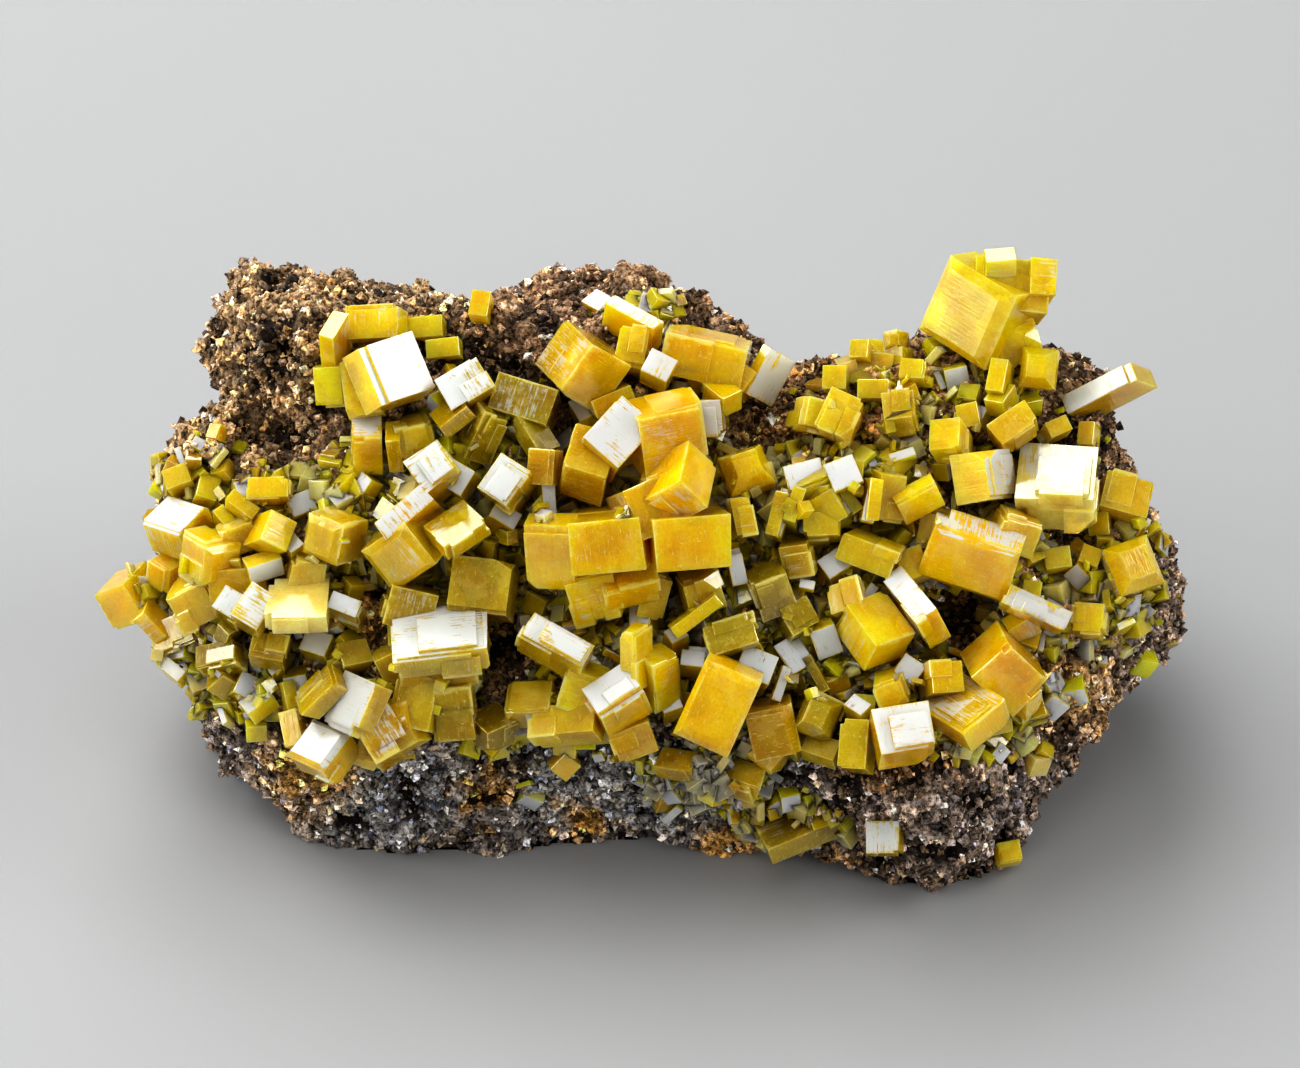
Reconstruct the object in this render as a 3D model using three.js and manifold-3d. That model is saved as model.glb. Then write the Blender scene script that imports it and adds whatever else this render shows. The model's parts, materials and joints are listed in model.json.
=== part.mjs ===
// Wulfenite on gossan: blocky golden-yellow lead molybdate crystals crowded over one leaning face of a
// lump of brown, iron-rich matrix. The matrix is one solid with lumps, ledges and hollows, cut flat where
// it rests. The crystals grow out of it; those that have grown into one another are joined in one solid.
// Millimetres, +Z up, -Y towards the viewer. The origin is on the resting face.

import * as THREE from "three";
import { ImprovedNoise } from "three/addons/math/ImprovedNoise.js";
import { mergeVertices } from "three/addons/utils/BufferGeometryUtils.js";
import Module from "manifold-3d";

const wasm = await Module();
wasm.setup();

// ---------------------------------------------------------------- driving dimensions
const BED_LEAN = 50; // degrees from level that the face with the crystals leans towards the viewer
const BED_HEIGHT = 22.4; // height of the middle of that face over the resting plane
const RIM_DEPTH = -10; // the widest outline of the lump lies this far behind the middle of the face
const FACE_SWELL = 16; // how far the face swells out of the plane of that outline
const BACK_SWELL = 20; // how far the back does
const FACE_FULLNESS = 3.5; // exponents of the superellipse from the middle to the rim
const BACK_FULLNESS = 2.6;
const FACE_TIP = 0.12; // how much less the face swells for each millimetre up it
const BACK_TIP = 0.35; // and the back
const BED_SHARE = 0.97; // crystals past this share of the way to the rim stand as high as those at it
const CLIFF_EDGE = -14; // below this the face falls away as a cliff down to the resting plane
const CLIFF_SLOPE = 1.15;
const ROOT_GAP = 0.3; // between a crystal's root and the matrix around it
const MATRIX_DETAIL = 11; // subdivisions of the icosahedron that the lump is shaped from
const FACE_SHARE = 1.22; // over 1 gathers its corners towards the face
const ROUGH_START = 23.3; // where in the noise the roughness begins
const SMALLEST = 0.6; // cubic millimetres: a splinter left by the cuts under this is dropped
const GROUND_SIDE = 200; // of the block that stands for everything under the resting plane
const SAME_PLACE = 1e-4; // corners nearer to each other than this are one

const radians = THREE.MathUtils.degToRad;

// ---------------------------------------------------------------- matrix
// The outline of the lump, seen square on to the crystal face: x to the right and y up the face, clockwise
// from the top of the left lobe.
const OUTLINE = [
  [-35.2, 23.6], [-33.4, 25], [-30.7, 24], [-27.7, 24], [-23.9, 24.2], [-19.8, 24.5], [-17, 23], [-14.6, 22.4],
  [-12.7, 23.1], [-10.7, 22.3], [-8.9, 24], [-7.4, 24.9], [-5.4, 24], [-3.7, 23.4], [0.4, 23.7], [3.3, 22.4],
  [6, 20.8], [7.4, 18.8], [10, 17.2], [12.8, 16.3], [16.5, 17.5], [19.2, 17.3], [23.8, 18], [28.8, 18.2],
  [34.6, 19], [36.2, 18], [37.9, 16.5], [40.5, 13.5], [40.4, 10], [41.2, 7.3], [42.8, 5], [44.5, 1.7],
  [45.9, -1.7], [45.7, -4.8], [43.4, -7.9], [41.8, -10.4], [39.2, -11.7], [38.6, -14], [36.5, -16.8],
  [34.1, -20], [32.2, -23.4], [31.6, -26], [27.9, -27.2], [24.2, -28], [22.1, -29.8], [19.2, -29.6],
  [16.7, -28.2], [15.2, -26.4], [8.3, -25.8], [4, -25.9], [0.4, -26], [-2.3, -26.2], [-6, -26.9],
  [-9.2, -25.8], [-13.3, -25.8], [-20.9, -26.6], [-25, -25.9], [-28.4, -24.6], [-29.7, -21.9],
  [-30.9, -19.6], [-33.9, -18.2], [-37, -15.8], [-37, -13], [-37.6, -10.8], [-39.2, -8.3], [-40.4, -5],
  [-40.6, -1.7], [-40.2, 5], [-40, 7.9], [-39.6, 9.9], [-38.6, 10.6], [-35.6, 10.8], [-34.9, 13],
  [-35.6, 15.3], [-36.8, 16.4], [-36.6, 17.8], [-35.8, 20.4],
];

// Broad lumps (+) and hollows (-) of the face: middle, reach across and up, and height out of the face.
const LUMPS = [
  { at: [-30.4, 18.3], reach: [6, 4.5], out: 3.5 }, // left lobe
  { at: [-37, 8.8], reach: [3, 2.5], out: 2.5 }, // left shoulder
  { at: [-28.8, 11], reach: [4.2, 2.8], out: -6 }, // shaded hollow under the lobe
  { at: [-10, 21], reach: [3, 3], out: 1.5 }, // knob on the ridge
  { at: [2, 22], reach: [4, 2.5], out: 1.5 },
  { at: [-6.7, 11.7], reach: [2.2, 2.4], out: -4 }, // pits between the crystals
  { at: [9.6, 11], reach: [3, 3], out: -4 },
  { at: [-11, -8.3], reach: [3, 5], out: -5 },
  { at: [2.5, -2.3], reach: [1.8, 1.8], out: -3 },
  { at: [-21.7, -5], reach: [1.8, 4], out: -2 },
  { at: [25.8, -5], reach: [2.6, 3], out: -4 },
  { at: [20, 13], reach: [7, 3], out: 1.5 },
  { at: [24.5, -22], reach: [8, 7], out: 12 }, // right foot, nearer than the rest of the cliff
  { at: [5, -18.4], reach: [5.5, 2.2], out: 3 }, // grey ledge in the middle of the cliff
  { at: [13, -23.5], reach: [4.5, 2], out: 2.5 },
  { at: [-28, -17.5], reach: [3.5, 3], out: 2 },
  { at: [-9, -20.5], reach: [4, 2], out: -1.5 },
  { at: [42, -3], reach: [4, 4], out: 2 },
];

// Rough lumps and pits all over the rock: size of a lump and its height.
const ROUGHNESS = [
  { size: 7, height: 2 },
  { size: 3.6, height: 1.8 },
];

/** Distance from the middle of the face to its outline in the direction of an angle. */
function outlineReach(angle) {
  const [dx, dy] = [Math.cos(angle), Math.sin(angle)];
  for (let i = 0; i < OUTLINE.length; i++) {
    const [ax, ay] = OUTLINE[i];
    const [bx, by] = OUTLINE[(i + 1) % OUTLINE.length];
    const across = dx * (by - ay) - dy * (bx - ax);
    const reach = (ax * (by - ay) - ay * (bx - ax)) / across;
    const along = (ax * dy - ay * dx) / across;
    if (reach > 0 && along >= -1e-9 && along <= 1 + 1e-9) return reach;
  }
  throw new Error("the outline does not close round the middle");
}

/** Height of the face at a point whose share of the way from the middle to the rim is known. */
function faceHeight(x, y, share) {
  let swell = FACE_SWELL - FACE_TIP * y - CLIFF_SLOPE * Math.max(0, CLIFF_EDGE - y);
  for (const { at, reach, out } of LUMPS) {
    swell += out * Math.exp(-(((x - at[0]) / reach[0]) ** 2) - ((y - at[1]) / reach[1]) ** 2);
  }
  return RIM_DEPTH + swell * (1 - share ** FACE_FULLNESS) ** (1 / FACE_FULLNESS);
}

/** Depth of the back at the same kind of point. */
function backHeight(x, y, share) {
  const swell = BACK_SWELL - BACK_TIP * y;
  return RIM_DEPTH - swell * (1 - share ** BACK_FULLNESS) ** (1 / BACK_FULLNESS);
}

/** Height of the crystal face, without its roughness, over the plane that crystals are placed in. */
function bedHeight(x, y) {
  const share = Math.hypot(x, y) / outlineReach(Math.atan2(y, x));
  return faceHeight(x, y, Math.min(share, BED_SHARE));
}

/** The rough lump of matrix: an icosahedron whose corners go out to the outline, the face and the back. */
function matrixShape(clearance) {
  const shape = new THREE.IcosahedronGeometry(1, MATRIX_DETAIL);
  shape.deleteAttribute("normal");
  shape.deleteAttribute("uv");
  const merged = mergeVertices(shape, SAME_PLACE);
  const noise = new ImprovedNoise();
  const place = merged.attributes.position;
  const corner = new THREE.Vector3();
  for (let i = 0; i < place.count; i++) {
    corner.fromBufferAttribute(place, i);
    const fromFace = Math.PI * (Math.acos(THREE.MathUtils.clamp(corner.z, -1, 1)) / Math.PI) ** FACE_SHARE;
    const share = Math.sin(fromFace);
    const angle = Math.atan2(corner.y, corner.x);
    const reach = outlineReach(angle);
    const x = reach * share * Math.cos(angle);
    const y = reach * share * Math.sin(angle);
    const z = fromFace < Math.PI / 2 ? faceHeight(x, y, share) : backHeight(x, y, share);
    place.setXYZ(i, x, y, z);
  }
  merged.computeVertexNormals();
  const normal = merged.attributes.normal;
  for (let i = 0; i < place.count; i++) {
    corner.fromBufferAttribute(place, i);
    let rough = clearance;
    for (const { size, height } of ROUGHNESS) {
      rough += height * noise.noise(corner.x / size + ROUGH_START, corner.y / size, corner.z / size);
    }
    const outward = new THREE.Vector3().fromBufferAttribute(normal, i);
    corner.addScaledVector(outward, rough);
    place.setXYZ(i, corner.x, corner.y, corner.z);
  }
  merged.deleteAttribute("normal");
  return merged;
}

// ---------------------------------------------------------------- crystals
// One crystal: its middle in the face (x, y), the height of its top corner over the rock there (rise),
// width, length and thickness, the way its broad face leans (direction and angle) and its turn (spin).
// A crystal is a plain square block unless it has a form: "plate" has bevelled edges round its broad face,
// "dome" has pyramid faces above and below, "steps" carries a smaller terrace on its broad face.
const CRYSTALS = {
  far_left: [
    { at: [-42.6, -3], rise: 3, size: [3.2, 3.6, 4.5], lean: [-130, 35], spin: 25 },
    { at: [-38.3, 2.7], rise: 5, size: [4.3, 4, 3.2], lean: [110, 53], spin: -32 },
    { at: [-35.5, 0.2], rise: 5.5, size: [3.9, 3.5, 3.9], lean: [-30, 44], spin: 2, form: "plate" },
    { at: [-39.3, -1], rise: 3.5, size: [2.2, 2.7, 2.2], lean: [-150, 50], spin: -20 },
    { at: [-37, -3.3], rise: 4, size: [3.5, 3.3, 3.5], lean: [-95, 25], spin: 28 },
    { at: [-40.6, -5], rise: 3.5, size: [3, 3, 1.2], lean: [36, 65], spin: -37 },
    { at: [-33.8, -3.9], rise: 4.5, size: [2.2, 2.2, 3.5], lean: [107, 16], spin: -32 },
    { at: [-31.8, -4.2], rise: 4.8, size: [2.6, 3.4, 3.5], lean: [100, 15], spin: -33 },
    { at: [-33.4, -1.8], rise: 2.8, size: [5, 3, 3], lean: [-80, 15], spin: 5 },
    { at: [-38.6, -6.4], rise: 2.6, size: [3.4, 2.6, 2.6], lean: [150, 20], spin: 20 },
    { at: [-34.8, -8.2], rise: 3, size: [3.8, 2, 2.4], lean: [145, 40], spin: 5 },
    { at: [-30.7, -7.6], rise: 2.8, size: [3, 2.2, 2.5], lean: [100, 25], spin: -12 },
  ],
  left: [
    { at: [-28.2, -3.8], rise: 5.5, size: [5, 5.2, 1.8], lean: [93, 52], spin: 0 },
    { at: [-24.3, -4.1], rise: 3, size: [2.6, 1.5, 3.4], lean: [105, 18], spin: -22 },
    { at: [-25.3, 2], rise: 5.5, size: [3.6, 3.5, 4.2], lean: [-163, 38], spin: -16, form: "plate" },
    { at: [-30.6, 2.2], rise: 4.5, size: [2.6, 2.8, 3.6], lean: [18, 27], spin: -23 },
    { at: [-30.7, 5.7], rise: 3, size: [3.4, 1.7, 3.6], lean: [110, 14], spin: 0 },
    { at: [-33.4, 2], rise: 2.8, size: [3, 2.4, 2.6], lean: [-60, 20], spin: 20 },
    { at: [-27.6, -0.8], rise: 3, size: [3, 2.2, 2.6], lean: [-70, 20], spin: -10 },
  ],
  lower_left: [
    { at: [-26.4, -10.9], rise: 4, size: [4.4, 3.4, 1.5], lean: [146, 60], spin: 35 },
    { at: [-23.3, -12], rise: 5.6, size: [5.2, 4.6, 1.8], lean: [156, 56], spin: -23 },
    { at: [-26.2, -15.9], rise: 6, size: [4.4, 4, 3], lean: [125, 42], spin: -30, form: "plate" },
    { at: [-20.4, -14], rise: 4.6, size: [4.9, 4.4, 4.4], lean: [-60, 20], spin: 30, form: "dome" },
    { at: [-18.4, -11.8], rise: 3.8, size: [3.8, 4.4, 3], lean: [161, 14], spin: -11 },
    { at: [-15.4, -12.4], rise: 3.9, size: [3.6, 4.6, 2.6], lean: [-110, 20], spin: 6 },
    { at: [-12.2, -13.9], rise: 3.8, size: [3, 3, 2.4], lean: [90, 50], spin: 35 },
    { at: [-22.6, -15.6], rise: 3, size: [2.4, 2.8, 2.6], lean: [-60, 20], spin: -15 },
  ],
  upper_left: [
    { at: [-20.7, 15.5], rise: 6.5, size: [5.7, 5.5, 3], lean: [31, 34], spin: 21 },
    { at: [-22.9, 14.1], rise: 4.2, size: [3, 4.8, 4], lean: [140, 12], spin: 9 },
    { at: [-22.6, 9.7], rise: 4.4, size: [2.5, 3.6, 4.2], lean: [91, 50], spin: 2 },
    { at: [-25.3, 18.2], rise: 4.6, size: [1.4, 3, 4.4], lean: [93, 39], spin: -24 },
    { at: [-21.9, 19.6], rise: 4.2, size: [4.7, 2.9, 4], lean: [150, 14], spin: 2 },
    { at: [-14.5, 14.1], rise: 5.2, size: [4, 3, 4.6], lean: [104, 14], spin: 31 },
    { at: [-15.4, 11.9], rise: 4.6, size: [3.1, 3, 1.6], lean: [129, 60], spin: 36 },
    { at: [-9.6, 12.8], rise: 4.4, size: [5.4, 3.2, 4.4], lean: [99, 16], spin: -18 },
    { at: [-8.8, 10.4], rise: 5, size: [2.2, 4.2, 1.8], lean: [50, 38], spin: 28 },
    { at: [-13.3, 10.6], rise: 4, size: [2.2, 4.4, 3], lean: [-51, 38], spin: -20 },
    { at: [-25.6, 14.6], rise: 3, size: [2.6, 3.4, 3], lean: [-150, 15], spin: 4 },
    { at: [-18.6, 10], rise: 3, size: [3, 3.2, 3], lean: [-60, 20], spin: 12 },
  ],
  middle_left: [
    { at: [-16.9, 7.2], rise: 6.2, size: [3.4, 3.4, 4.6], lean: [118, 17], spin: 36, form: "steps" },
    { at: [-10.9, 6.2], rise: 6, size: [3, 3.6, 4.6], lean: [126, 15], spin: -34, form: "steps" },
    { at: [-19, 3.6], rise: 6, size: [5.2, 1.8, 4.6], lean: [141, 16], spin: 40 },
    { at: [-15.1, 2.5], rise: 7, size: [4.3, 3.6, 1.6], lean: [104, 42], spin: 40 },
    { at: [-19.5, 0.8], rise: 6.4, size: [4.9, 4.4, 4], lean: [-124, 30], spin: 36, form: "plate" },
    { at: [-13, -2.4], rise: 5, size: [5.2, 4.6, 4.6], lean: [124, 11], spin: -7 },
    { at: [-19.1, -3.8], rise: 4, size: [4, 3.4, 3.4], lean: [-60, 12], spin: -14 },
    { at: [-16.3, -6.6], rise: 7, size: [8, 6, 2.4], lean: [98, 50], spin: 6, form: "steps" },
    { at: [-16.6, -8.4], rise: 4, size: [6.5, 3.4, 4], lean: [-90, 12], spin: 4 },
  ],
  upper_middle: [
    { at: [-4.8, 16.2], rise: 6, size: [6.2, 4.8, 4.4], lean: [150, 58], spin: -38 },
    { at: [-0.6, 19.6], rise: 4.6, size: [5, 1.6, 3], lean: [82, 46], spin: -37 },
    { at: [-0.6, 17.2], rise: 4, size: [2.6, 3.4, 4], lean: [99, 14], spin: -10 },
    { at: [1.5, 15.6], rise: 4.4, size: [2.4, 2.2, 3.4], lean: [79, 20], spin: -27 },
    { at: [5.6, 16.9], rise: 5.2, size: [6.8, 3.4, 4.6], lean: [-115, 15], spin: -12 },
    { at: [8.4, 14.8], rise: 4.8, size: [1.9, 2.5, 3.4], lean: [123, 14], spin: -36 },
    { at: [10.6, 15.3], rise: 5.4, size: [3.4, 4.4, 1.1], lean: [-30, 42], spin: -28 },
    { at: [6.2, 12], rise: 4.6, size: [1.7, 3, 3.4], lean: [-147, 12], spin: 5 },
  ],
  centre: [
    { at: [-1.9, 10], rise: 8.4, size: [3.8, 5, 5.4], lean: [63, 14], spin: -42 },
    { at: [-4.2, 7.9], rise: 7.4, size: [3.8, 4.4, 5], lean: [79, 30], spin: -18 },
    { at: [2.2, 10.3], rise: 8.6, size: [5.4, 5.8, 5.4], lean: [-55, 24], spin: 10 },
    { at: [3, 6.2], rise: 10.4, size: [3.6, 4.8, 5], lean: [27, 55], spin: -28 },
    { at: [-2.3, 1.7], rise: 8.6, size: [6.4, 4.4, 7], lean: [-129, 13], spin: 6 },
    { at: [3.8, 1.8], rise: 8.8, size: [6.6, 4.4, 7], lean: [-35, 12], spin: 4 },
    { at: [0.6, 4.2], rise: 8.4, size: [4.4, 4.4, 6], lean: [20, 16], spin: 24 },
    { at: [-7.2, 0.7], rise: 6.6, size: [4.2, 6, 2.6], lean: [-117, 28], spin: 1 },
    { at: [-1, -1.6], rise: 5.6, size: [4.4, 4, 2.4], lean: [98, 44], spin: 15 },
    { at: [-7.8, 7.7], rise: 5.4, size: [2.2, 3, 3.4], lean: [180, 15], spin: -4 },
    { at: [8.3, 3.5], rise: 5.8, size: [1.6, 3.1, 4], lean: [45, 8], spin: 11 },
    { at: [8.8, 7.2], rise: 5.4, size: [3.9, 3.7, 4.2], lean: [90, 24], spin: 20, form: "dome" },
    { at: [-3.6, -2.6], rise: 5, size: [4.2, 4, 3.4], lean: [-110, 20], spin: 16 },
    { at: [1, -2.8], rise: 5, size: [2.2, 3.6, 3.4], lean: [-60, 15], spin: -14 },
    { at: [5, -2.6], rise: 4.6, size: [3.2, 2.8, 3.4], lean: [-50, 20], spin: 18 },
  ],
  lower_middle: [
    { at: [-6.9, -7.2], rise: 7.4, size: [5.8, 2.3, 4.6], lean: [74, 20], spin: -30, form: "steps" },
    { at: [-0.3, -7.9], rise: 6.6, size: [1.6, 4.8, 2.8], lean: [-150, 35], spin: -4 },
    { at: [1.5, -9.6], rise: 5.4, size: [2.6, 4.6, 3], lean: [-34, 45], spin: 15 },
    { at: [4.6, -4.5], rise: 4.8, size: [4.9, 1.1, 1.8], lean: [-60, 12], spin: 37 },
    { at: [-1.9, -11.6], rise: 6.4, size: [4.3, 3.2, 4.2], lean: [113, 32], spin: 35 },
    { at: [-9, -11.9], rise: 4.8, size: [4, 3.2, 2.4], lean: [112, 38], spin: -2 },
    { at: [-5.9, -13.6], rise: 5, size: [5.6, 2.6, 2.8], lean: [129, 32], spin: 1 },
    { at: [6.5, -11.8], rise: 7, size: [5, 7.4, 3.2], lean: [-115, 20], spin: -24, form: "plate" },
    { at: [7.7, -6.5], rise: 5.4, size: [4.2, 2.6, 3.6], lean: [124, 16], spin: 17 },
    { at: [11, -13.8], rise: 4.4, size: [4, 4.2, 3.6], lean: [-90, 16], spin: 12 },
    { at: [10.6, -16], rise: 3.8, size: [2.6, 2.4, 2.8], lean: [100, 20], spin: -38, form: "dome" },
    { at: [3.2, -16.8], rise: 2.6, size: [3.8, 2.4, 2], lean: [121, 39], spin: -16 },
    { at: [8.2, -18], rise: 2.6, size: [5, 2.3, 2], lean: [112, 35], spin: -23 },
    { at: [10.8, -2.5], rise: 4.4, size: [3.2, 3.5, 3.4], lean: [-60, 25], spin: 20 },
    { at: [13, -4.9], rise: 3.6, size: [2.6, 2.4, 3], lean: [60, 20], spin: 30 },
    { at: [13, 0.3], rise: 3.6, size: [2.4, 2.6, 3], lean: [-120, 15], spin: 10 },
    { at: [-4.6, -10.4], rise: 4.4, size: [3.2, 3.4, 3.4], lean: [-110, 20], spin: -18 },
    { at: [-0.6, -14.6], rise: 4, size: [3.6, 2.8, 3], lean: [-70, 20], spin: 20 },
  ],
  upper_right: [
    { at: [21.4, 18.1], rise: 3.2, size: [2, 1.6, 2.6], lean: [135, 19], spin: 3, form: "dome" },
    { at: [19.4, 16.2], rise: 2.4, size: [3.6, 1.8, 2.6], lean: [100, 15], spin: -10 },
    { at: [22.7, 15.6], rise: 3, size: [2.2, 1.7, 2.4], lean: [110, 20], spin: -6 },
    { at: [14.2, 11.8], rise: 3.4, size: [2.6, 2.6, 3.2], lean: [127, 12], spin: -10, form: "dome" },
    { at: [16.6, 11.8], rise: 4, size: [3, 3.6, 3.8], lean: [106, 14], spin: -24 },
    { at: [21.6, 12.1], rise: 3.2, size: [2.7, 2.5, 3.6], lean: [108, 27], spin: 6 },
    { at: [25.6, 9.9], rise: 4.2, size: [2.6, 2.8, 2.8], lean: [127, 31], spin: 2 },
    { at: [21.2, 8.2], rise: 2.8, size: [2.2, 2.8, 1.6], lean: [110, 60], spin: -30 },
    { at: [28.4, 20.8], rise: 9, size: [7.2, 7.4, 6.2], lean: [-170, 33], spin: -28, form: "plate" },
    { at: [29.9, 24.3], rise: 8, size: [2.7, 1.6, 3], lean: [90, 45], spin: 6 },
    { at: [33.3, 23.2], rise: 7.4, size: [2.2, 3.2, 3.6], lean: [60, 15], spin: -4 },
    { at: [31.2, 22.4], rise: 7, size: [5.2, 4.4, 5.4], lean: [60, 12], spin: -6 },
    { at: [31.2, 18.2], rise: 5.4, size: [3.6, 3.4, 4], lean: [-60, 15], spin: 15 },
    { at: [33.2, 15.9], rise: 4.4, size: [3, 3.4, 3.6], lean: [144, 12], spin: -6, form: "dome" },
    { at: [39.1, 14], rise: 5.6, size: [6.8, 1.7, 4.6], lean: [162, 28], spin: 24 },
    { at: [31, 10.9], rise: 4.2, size: [3.9, 2.2, 3.2], lean: [107, 20], spin: 35 },
  ],
  right: [
    { at: [14.4, 6.7], rise: 4.4, size: [3, 3, 2.2], lean: [117, 46], spin: 19 },
    { at: [17.2, 6.9], rise: 4, size: [2.7, 2.4, 3.2], lean: [105, 14], spin: -9 },
    { at: [15.5, 4.6], rise: 4.2, size: [3.6, 3.2, 3.4], lean: [-140, 24], spin: 30 },
    { at: [19.1, 5], rise: 5, size: [1.1, 3.6, 3.4], lean: [0, 10], spin: -7 },
    { at: [20.3, 5.4], rise: 3.8, size: [2.4, 4, 3], lean: [-30, 20], spin: -8 },
    { at: [23, 5], rise: 4.2, size: [3.8, 2.6, 1.6], lean: [-60, 34], spin: 27 },
    { at: [11.5, 3.6], rise: 4.4, size: [1.1, 3.8, 3.4], lean: [130, 12], spin: -14 },
    { at: [15.1, 2.7], rise: 3.6, size: [3.2, 2, 3], lean: [110, 14], spin: 2 },
    { at: [19, 0.7], rise: 3.8, size: [5, 2.4, 3.2], lean: [-135, 18], spin: -20 },
    { at: [28.4, 6.9], rise: 5.6, size: [3.4, 4.2, 4.8], lean: [-175, 26], spin: 9 },
    { at: [34.6, 6.1], rise: 6, size: [6.5, 6.4, 3.6], lean: [94, 43], spin: -5, form: "steps" },
    { at: [40.2, 5], rise: 4.4, size: [4.2, 3.2, 3.8], lean: [60, 18], spin: -15 },
    { at: [27.4, 0.4], rise: 6, size: [7.8, 5.4, 3.4], lean: [-107, 33], spin: -18, form: "plate" },
    { at: [31, 2.4], rise: 4.6, size: [3.6, 3, 3], lean: [-60, 25], spin: -20 },
    { at: [40.8, -0.6], rise: 4, size: [4.2, 4.4, 3.6], lean: [40, 20], spin: 20, form: "dome" },
    { at: [32.8, -4.2], rise: 4.6, size: [6.1, 1.7, 2.8], lean: [45, 14], spin: -24 },
    { at: [37.3, -5], rise: 3, size: [2.6, 2.4, 2.6], lean: [121, 16], spin: -5 },
    { at: [22.8, -3.9], rise: 7, size: [2, 5.9, 4.4], lean: [119, 37], spin: 37 },
    { at: [19.3, -5.8], rise: 6, size: [4.2, 4.8, 3.4], lean: [62, 43], spin: 28 },
    { at: [17.2, -3.2], rise: 3.8, size: [2.8, 2.4, 3], lean: [150, 20], spin: 15 },
  ],
  lower_right: [
    { at: [30.1, -8.9], rise: 7, size: [4.2, 5.2, 5.4], lean: [-67, 25], spin: 45 },
    { at: [31.7, -11.4], rise: 5, size: [2.3, 2.1, 2.4], lean: [90, 42], spin: -39 },
    { at: [26.9, -12.5], rise: 7, size: [6.6, 4.8, 2.2], lean: [116, 54], spin: -44, form: "steps" },
    { at: [25, -9.8], rise: 5.4, size: [2.7, 2.6, 3.2], lean: [33, 15], spin: 4 },
    { at: [21.6, -14.4], rise: 6.4, size: [4.8, 4, 4.2], lean: [84, 20], spin: 10, form: "steps" },
    { at: [17.9, -15.3], rise: 4.6, size: [2.4, 4.4, 3.8], lean: [150, 14], spin: -4 },
    { at: [14.7, -13], rise: 4.4, size: [3.2, 3.5, 3.8], lean: [117, 14], spin: -22, form: "dome" },
    { at: [20.8, -10.6], rise: 4.6, size: [2.2, 2.6, 3.2], lean: [-100, 20], spin: 20 },
    { at: [13, -22.7], rise: 2.6, size: [6, 3.6, 1.8], lean: [109, 52], spin: 24 },
    { at: [20.3, -23.1], rise: 2.8, size: [2.8, 2.7, 3.2], lean: [144, 12], spin: 0 },
    { at: [30.7, -24.6], rise: 2.4, size: [2, 1.8, 2.4], lean: [56, 17], spin: 11 },
  ],
};

const BEVEL = 0.16; // of a plate's smaller side
const DOME_TOP = 0.55; // width of a dome's flat top, as a share of the whole
const DOME_WAIST = 0.3; // share of a dome's thickness that stays upright
const TERRACE = { share: 0.72, height: 0.14, shift: 0.1 }; // of a stepped crystal's sides and thickness

/** A square crystal, as a lathe of four sides: half side 1, closed on its axis, along its own z. */
function squareLathe(profile) {
  const points = profile.map(([reach, z]) => new THREE.Vector2(reach * Math.SQRT2, z));
  const lathe = new THREE.LatheGeometry(points, 4, Math.PI / 4);
  return lathe.rotateX(Math.PI / 2);
}

/** The closed geometry of one crystal about its own middle. */
function crystalShapes({ size, form }) {
  const [width, length, thick] = size;
  const half = thick / 2;
  if (form === "plate") {
    const bevel = BEVEL * Math.min(width, length, thick);
    const inset = 1 - (2 * bevel) / Math.min(width, length);
    const profile = [[0, -half], [1, -half], [1, half - bevel], [inset, half], [0, half]];
    return [squareLathe(profile).scale(width / 2, length / 2, 1)];
  }
  if (form === "dome") {
    const waist = half * DOME_WAIST;
    const profile = [[0, -half], [DOME_TOP, -half], [1, -waist], [1, waist], [DOME_TOP, half], [0, half]];
    return [squareLathe(profile).scale(width / 2, length / 2, 1)];
  }
  const block = new THREE.BoxGeometry(width, length, thick);
  if (form === "steps") {
    const { share, height, shift } = TERRACE;
    const terrace = new THREE.BoxGeometry(width * share, length * share, thick);
    return [block, terrace.translate(width * shift, -length * shift, thick * height)];
  }
  return [block];
}

/** Where a crystal stands: its broad face leans away from the face of the rock, its top corner rises. */
function crystalPlace({ at, rise, size, lean, spin }) {
  const direction = radians(lean[0]);
  const hinge = new THREE.Vector3(-Math.sin(direction), Math.cos(direction), 0);
  const turn = new THREE.Matrix4().makeRotationAxis(hinge, radians(lean[1]));
  turn.multiply(new THREE.Matrix4().makeRotationZ(radians(spin)));
  const rows = turn.elements;
  const topCorner = [rows[2], rows[6], rows[10]].map((slope, i) => (Math.abs(slope) * size[i]) / 2);
  const height = bedHeight(at[0], at[1]) + rise - topCorner[0] - topCorner[1] - topCorner[2];
  return turn.setPosition(at[0], at[1], height);
}

// ---------------------------------------------------------------- joining and cutting
function toSolid(shape) {
  shape.deleteAttribute("normal");
  shape.deleteAttribute("uv");
  const merged = mergeVertices(shape, SAME_PLACE);
  const vertProperties = new Float32Array(merged.attributes.position.array);
  const triangles = [];
  const index = merged.index.array;
  for (let i = 0; i < index.length; i += 3) {
    const [a, b, c] = [index[i], index[i + 1], index[i + 2]];
    if (a !== b && b !== c && c !== a) triangles.push(a, b, c);
  }
  const triVerts = new Uint32Array(triangles);
  return new wasm.Manifold(new wasm.Mesh({ numProp: 3, vertProperties, triVerts }));
}

function toGeometry(solid) {
  const { vertProperties, triVerts } = solid.getMesh();
  const geometry = new THREE.BufferGeometry();
  geometry.setAttribute("position", new THREE.BufferAttribute(vertProperties, 3));
  geometry.setIndex(new THREE.BufferAttribute(triVerts, 1));
  geometry.computeVertexNormals();
  return geometry;
}

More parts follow.
